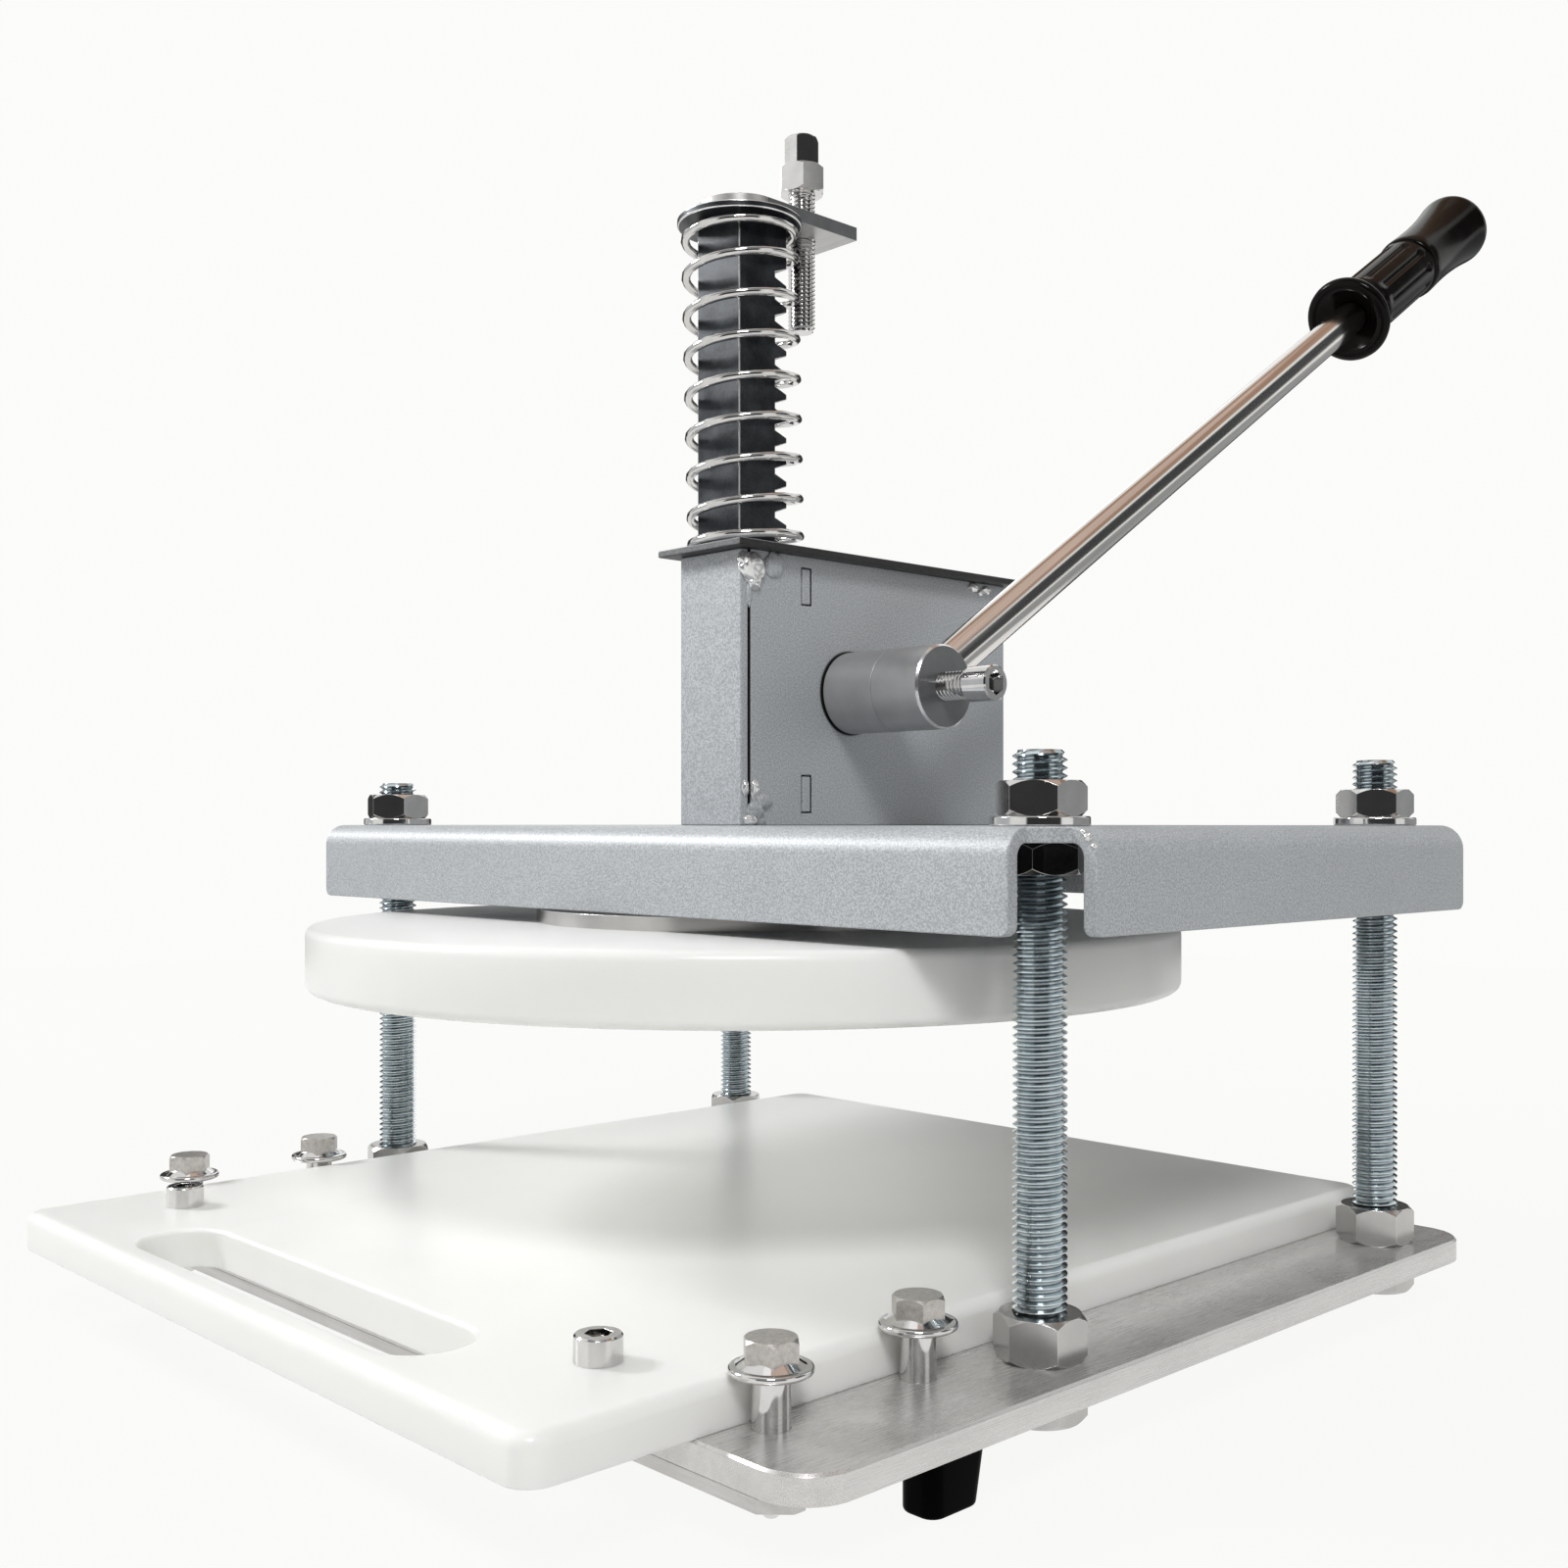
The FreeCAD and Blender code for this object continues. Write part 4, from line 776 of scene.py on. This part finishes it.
# %% Cut the threads
def saw_off(shape, place, outward, keep_outer=False):
    """Cut a shape with a plane, keep only its inner or its outer side and close the cut."""
    everything = shape.verts[:] + shape.edges[:] + shape.faces[:]
    cut = bmesh.ops.bisect_plane(
        shape, geom=everything, plane_co=place, plane_no=outward, clear_outer=not keep_outer,
        clear_inner=keep_outer)
    rim = [part for part in cut["geom_cut"] if isinstance(part, bmesh.types.BMEdge)]
    bmesh.ops.holes_fill(shape, edges=rim)


def threaded_bar(shape, radius, pitch, low, high, chamfer, sides=32):
    """Add a bar with a right-hand thread on the Z axis, from low to high."""
    bar = bmesh.new()
    core = radius - 0.61 * pitch
    tooth = ((radius, 0), (radius, 1 / 8), (core, 0.45), (core, 0.67))
    feet = [low + (number - 2) * pitch for number in range(math.ceil((high - low) / pitch) + 3)]
    outline = [(out, foot + pitch * share) for foot in feet for out, share in tooth]
    corners = [bar.verts.new((out, 0, up)) for out, up in outline]
    zigzag = [bar.edges.new(pair) for pair in zip(corners, corners[1:])]
    bmesh.ops.spin(
        bar, geom=corners + zigzag, axis=(0, 0, 1), cent=(0, 0, 0), dvec=(0, 0, pitch / sides),
        angle=2 * math.pi, steps=sides)
    bmesh.ops.remove_doubles(bar, verts=bar.verts, dist=pitch / 500)
    saw_off(bar, (0, 0, low), (0, 0, -1))
    saw_off(bar, (0, 0, high), (0, 0, 1))
    for corner in bar.verts:
        limit = radius - max(0, chamfer - (high - corner.co.z), chamfer - (corner.co.z - low))
        across = corner.co.xy.length
        if across > limit:
            corner.co.xy *= limit / across
    bmesh.ops.recalc_face_normals(bar, faces=bar.faces)
    add_to(shape, bar)


rods = bmesh.new()
for (low, high), middle in zip(rod_boxes, rod_middles):
    before = set(rods.verts)
    threaded_bar(rods, rod_radius, 1.75 * mm, low.z, high.z, 1.2 * mm)
    added = [corner for corner in rods.verts if corner not in before]
    bmesh.ops.translate(rods, verts=added, vec=(middle.x, middle.y, 0))
smooth_but_crisp(rods, 30)
threads = show(rods, "rod_threads", "stand", [zinc], slot_of["threaded_rods"], "threaded_rods")
print("rod threads have", len(threads.data.polygons), "faces")

# %% [markdown]
# The return spring is one wire. A curve follows its centre line: closed turns at both ends, open
# turns between, and a slight lean towards the operator. The curve becomes a mesh of its own.

# %% Wind the spring
def spring_centre(turns, count, radius, height, end_climb, lean, start):
    """A point on the wire's centre line, this many turns from the lower end.

    The closed turn at each end climbs by end_climb, the top stands off along Y by lean, and start is
    the angle of the lower end in degrees.
    """
    rise = (height - end_climb) / (count - 1)
    from_end = min(turns, count - turns, 1)
    ramp = end_climb * from_end + (rise - end_climb) * from_end ** 2 / 2
    if turns < 1:
        climb = ramp
    elif turns > count - 1:
        climb = height - ramp
    else:
        climb = rise * turns - (rise - end_climb) / 2
    angle = 2 * math.pi * turns + math.radians(start)
    return Vector((radius * math.cos(angle), radius * math.sin(angle) + lean * climb / height, climb))


def tube_along(points, radius, name):
    """A mesh tube round a line of points, with closed ends."""
    curve = bpy.data.curves.new(name, "CURVE")
    curve.dimensions = "3D"
    curve.bevel_depth = radius
    curve.bevel_resolution = 4
    curve.use_fill_caps = True
    line = curve.splines.new("POLY")
    line.points.add(len(points) - 1)
    for point, place in zip(line.points, points):
        point.co = (*place, 1)
    holder = bpy.data.objects.new(name, curve)
    bpy.context.scene.collection.objects.link(holder)
    view = bpy.context.evaluated_depsgraph_get()
    mesh = bpy.data.meshes.new_from_object(holder.evaluated_get(view))
    bpy.data.objects.remove(holder)
    bpy.data.curves.remove(curve)
    return mesh


wire_radius = 1.3 * mm
coil_low, coil_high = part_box("return_spring")
coil_count = 8.75
coil_radius = 17.1 * mm - wire_radius
coil_height = coil_high.z - coil_low.z - 2 * wire_radius
coil_foot = Vector((0, 0, coil_low.z + wire_radius))
points_per_turn = 28
last_point = round(coil_count * points_per_turn)
centre_line = [
    coil_foot + spring_centre(
        coil_count * number / last_point, coil_count, coil_radius, coil_height, end_climb=1.0 * mm,
        lean=-2.4 * mm, start=176.0)
    for number in range(last_point + 1)]
coil_mesh = tube_along(centre_line, wire_radius, "coil")
coil = bmesh.new()
coil.from_mesh(coil_mesh)
bpy.data.meshes.remove(coil_mesh)
bmesh.ops.remove_doubles(coil, verts=coil.verts, dist=0.001 * mm)
smooth_but_crisp(coil, 50)
spring = show(coil, "return_spring_wire", "stand", [spring_wire], slot_of["return_spring"], "return_spring")
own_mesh(spring)
wire_length = sum((after - before).length for before, after in zip(centre_line, centre_line[1:]))
print("spring wire is", round(wire_length / mm), "mm long")

# %% [markdown]
# The depth stop is an M8 screw that stands upright in the arm, and an M8 screw that lies along X
# clamps the lever in its hub. Their threads are cut like the rods', and each head is copied from the
# CAD piece by sawing off what lies below its seat.

# %% Depth stop and clamp screw
screw_radius = 4 * mm
screw_pitch = 1.25 * mm
head_height = 8.3 * mm
overlap = 0.2 * mm


def headed_screw(node, box, axis, chamfer):
    """A cut thread with the CAD piece's own head, along Z (axis 2) or along X (axis 0)."""
    low, high = box
    seat = high[axis] - head_height
    outward = Vector([float(axis == number) for number in range(3)])
    screw = bmesh.new()
    threaded_bar(screw, screw_radius, screw_pitch, low[axis], seat + overlap, chamfer, 28)
    if axis == 0:
        onto_x = Matrix.Rotation(math.pi / 2, 3, "Y")
        bmesh.ops.rotate(screw, verts=screw.verts, cent=(0, 0, 0), matrix=onto_x)
    middle = (low + high) / 2
    middle[axis] = 0
    bmesh.ops.translate(screw, verts=screw.verts, vec=middle)
    head = merged_copy(node)
    saw_off(head, outward * seat, outward, keep_outer=True)
    add_to(screw, head)
    smooth_but_crisp(screw, 30)
    return screw


stop_screw = headed_screw("depth_stop_screw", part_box("depth_stop_screw"), 2, 0.8 * mm)
show(
    stop_screw, "depth_stop_thread", "depth_stop", [nickel], slot_of["depth_stop_screw"], "depth_stop_screw")
clamp_screw = headed_screw("lever_clamp_screw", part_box("lever_clamp_screw"), 0, 0.6 * mm)
show(
    clamp_screw, "clamp_screw_thread", "crank", [nickel], slot_of["lever_clamp_screw"], "lever_clamp_screw")
print("cut two more threads")

# %% [markdown]
# The camera stands low, off the press's front right corner, and looks level. Its small shift keeps
# upright edges upright while the frame takes in the feet.

# %% Camera
camera_data = bpy.data.cameras.new("camera")
camera_data.sensor_width = 36
camera_data.lens = 38.89
camera_data.shift_y = 0.0246
camera_data.clip_start = 0.01
camera = bpy.data.objects.new("camera", camera_data)
camera.location = (0.3634, -0.3306, 0.1068)
camera.rotation_euler = (math.radians(90), 0, math.radians(46.41))
bpy.context.scene.collection.objects.link(camera)
bpy.context.scene.camera = camera
print("camera looks along", short(camera.matrix_basis.to_3x3() @ Vector((0, 0, -1)), 3))

# %% [markdown]
# The studio has a lamp to the left and in front, a weaker and softer one to the right, and a faint
# one overhead. The room fills the shadows. Each power is given as the share of full white that it
# puts on a sheet of paper facing the lamp, which makes it easy to add them up: 28 W give full white
# at this distance.

# %% Studio lamps
full_white = 28.0
lamp_distance = 1.7
press_middle = Vector((0, 0.02, 0.08))


def lamp(name, toward, size, share):
    """A square area lamp that shines at the middle of the press from this direction."""
    data = bpy.data.lights.new(name, "AREA")
    data.size = size
    data.energy = full_white * share
    made = bpy.data.objects.new(name, data)
    made.location = press_middle + Vector(toward).normalized() * lamp_distance
    made.rotation_euler = (press_middle - made.location).to_track_quat("-Z", "Y").to_euler()
    bpy.context.scene.collection.objects.link(made)
    return data.energy


powers = [
    lamp("left_lamp", toward=(-0.72, -0.45, 0.53), size=0.36, share=0.59),
    lamp("right_lamp", toward=(0.52, -0.50, 0.69), size=0.42, share=0.47),
    lamp("top_lamp", toward=(0.05, 0.10, 1.0), size=1.2, share=0.04),
]
print("lamps", short(powers, 1), "W")

# %% [markdown]
# Metal looks like metal only when it has something dark to reflect. In an all white room a polished
# bar is white all over. A studio has a dark side behind the camera, stands and a ceiling, so the room
# is painted in reflections. A patch is given by its azimuth and spread in degrees from the X axis, its
# lowest and highest place on a scale from -1 to 1, its softness and its colour. The camera itself sees
# only white. Soft light from the room is an even grey, stronger low down at the rear, where it reaches
# in under the frame.

# %% Room
class Room(Finish):
    """The surroundings, written as expressions on the direction of a ray."""

    def __init__(self, name):
        super().__init__(name, bpy.data.worlds, "Generated")
        self.height = self.part(2)
        self.azimuth = self.part(1).math("ARCTAN2", self.part(1), self.part(0))

    def patch(self, azimuth, spread, low, high, soft=0.06):
        """1 for directions within this spread of an azimuth and between two heights."""
        limits = {0: self.azimuth - math.radians(azimuth), 1: math.pi, 2: -math.pi}
        away = self.node("ShaderNodeMath", {"operation": "WRAP"}, limits).unsigned()
        return away.below(math.radians(spread), soft * 1.5) * self.height.within(low, high, soft)

    def light(self, color):
        """Light of a colour that comes in from all directions."""
        return self.node("ShaderNodeBackground", values={"Color": color, "Strength": 1.0})

    def choose(self, factor, first, second):
        """The first light where factor is 0, the second where it is 1."""
        return self.node("ShaderNodeMixShader", values={0: factor, 1: first, 2: second})


room = Room("studio_room")
backdrop_white = (0.97, 0.97, 0.955, 1)
patches = {
    "right flag": ((109, 22, -0.30, 0.42, 0.05), (0.04, 0.04, 0.04, 1)),
    "window": ((141, 12, 0.33, 0.60, 0.04), (1.7, 1.7, 1.7, 1)),
    "left flag": ((167, 15, -0.30, 0.42, 0.06), (0.05, 0.05, 0.05, 1)),
    "rear horizon": ((66, 38, -0.30, 0.12, 0.03), (0.34, 0.35, 0.35, 1)),
    "left horizon": ((-148, 24, -0.25, 0.35, 0.06), (0.60, 0.62, 0.64, 1)),
    "left beam": ((-160, 20, 0.44, 0.64, 0.04), (0.05, 0.05, 0.05, 1)),
    "stand": ((43, 19, 0.21, 0.71, 0.03), (0.06, 0.065, 0.065, 1)),
    "timber ceiling": ((88, 62, 0.80, 1.20, 0.02), (0.42, 0.27, 0.19, 1)),
    "dark side": ((-43, 40, -0.34, 0.48, 0.04), (0.045, 0.045, 0.046, 1)),
    "ceiling over the camera": ((-43, 75, 0.54, 0.96, 0.06), (0.28, 0.28, 0.28, 1)),
}
mirrored = backdrop_white
for title, (reach, color) in patches.items():
    mirrored = room.blend(room.patch(*reach), mirrored, color)
from_camera, from_gloss, through_glass = [
    room.node("ShaderNodeLightPath", output=ray)
    for ray in ("Is Camera Ray", "Is Glossy Ray", "Is Transmission Ray")]
fill = room.blend(room.patch(110, 80, -0.35, 0.42, 0.15), grey(0.30), grey(1.05))
lit = room.choose(from_gloss, room.light(fill), room.light(mirrored))
direct = from_camera.math("MAXIMUM", from_camera, through_glass)
room.node_out(room.choose(direct, lit, room.light(backdrop_white)), "ShaderNodeOutputWorld")
bpy.context.scene.world = room.material
print("room has", len(patches), "patches to reflect")

# %% [markdown]
# The floor is a pale round sheet just under the feet. To the camera and in reflections most of it is
# a plain white glow, the same as the backdrop, and a small part is matt and keeps the press's
# shadow. That part is largest near the press and fades out, so no horizon shows.

# %% Floor
glow_under_press = 0.945
glow_far_out = 0.99


def pale_floor():
    """A sheet that glows like the backdrop and keeps a faint shadow near the press."""
    pale = Finish("pale_floor")
    seen = pale.node("ShaderNodeLightPath", output="Is Camera Ray")
    mirrored_in_metal = pale.node("ShaderNodeLightPath", output="Is Glossy Ray")
    glow = pale.node("ShaderNodeEmission", values={"Color": backdrop_white, "Strength": 1.0})
    matt = pale.node("ShaderNodeBsdfDiffuse", values={"Color": (0.74, 0.74, 0.73, 1)})
    away = pale.node("ShaderNodeVectorMath", {"operation": "LENGTH"}, {0: pale.place}, 1)
    glowing = away.above(0.42, 0.30) * (glow_far_out - glow_under_press) + glow_under_press
    share = seen.math("MAXIMUM", seen, mirrored_in_metal) * glowing
    pale.node_out(pale.node("ShaderNodeMixShader", values={0: share, 1: matt, 2: glow}))
    return pale.material


sheet = bmesh.new()
bmesh.ops.create_circle(sheet, cap_ends=True, segments=96, radius=1.3)
bmesh.ops.translate(sheet, verts=sheet.verts, vec=(0, 0, cad_box[0].z - 0.05 * mm))
floor_mesh = bpy.data.meshes.new("floor")
sheet.to_mesh(floor_mesh)
sheet.free()
floor_mesh.materials.append(pale_floor())
floor = bpy.data.objects.new("floor", floor_mesh)
bpy.context.scene.collection.objects.link(floor)
bpy.context.scene.view_settings.view_transform = "Standard"
print("floor at", round(cad_box[0].z / mm, 1), "mm")
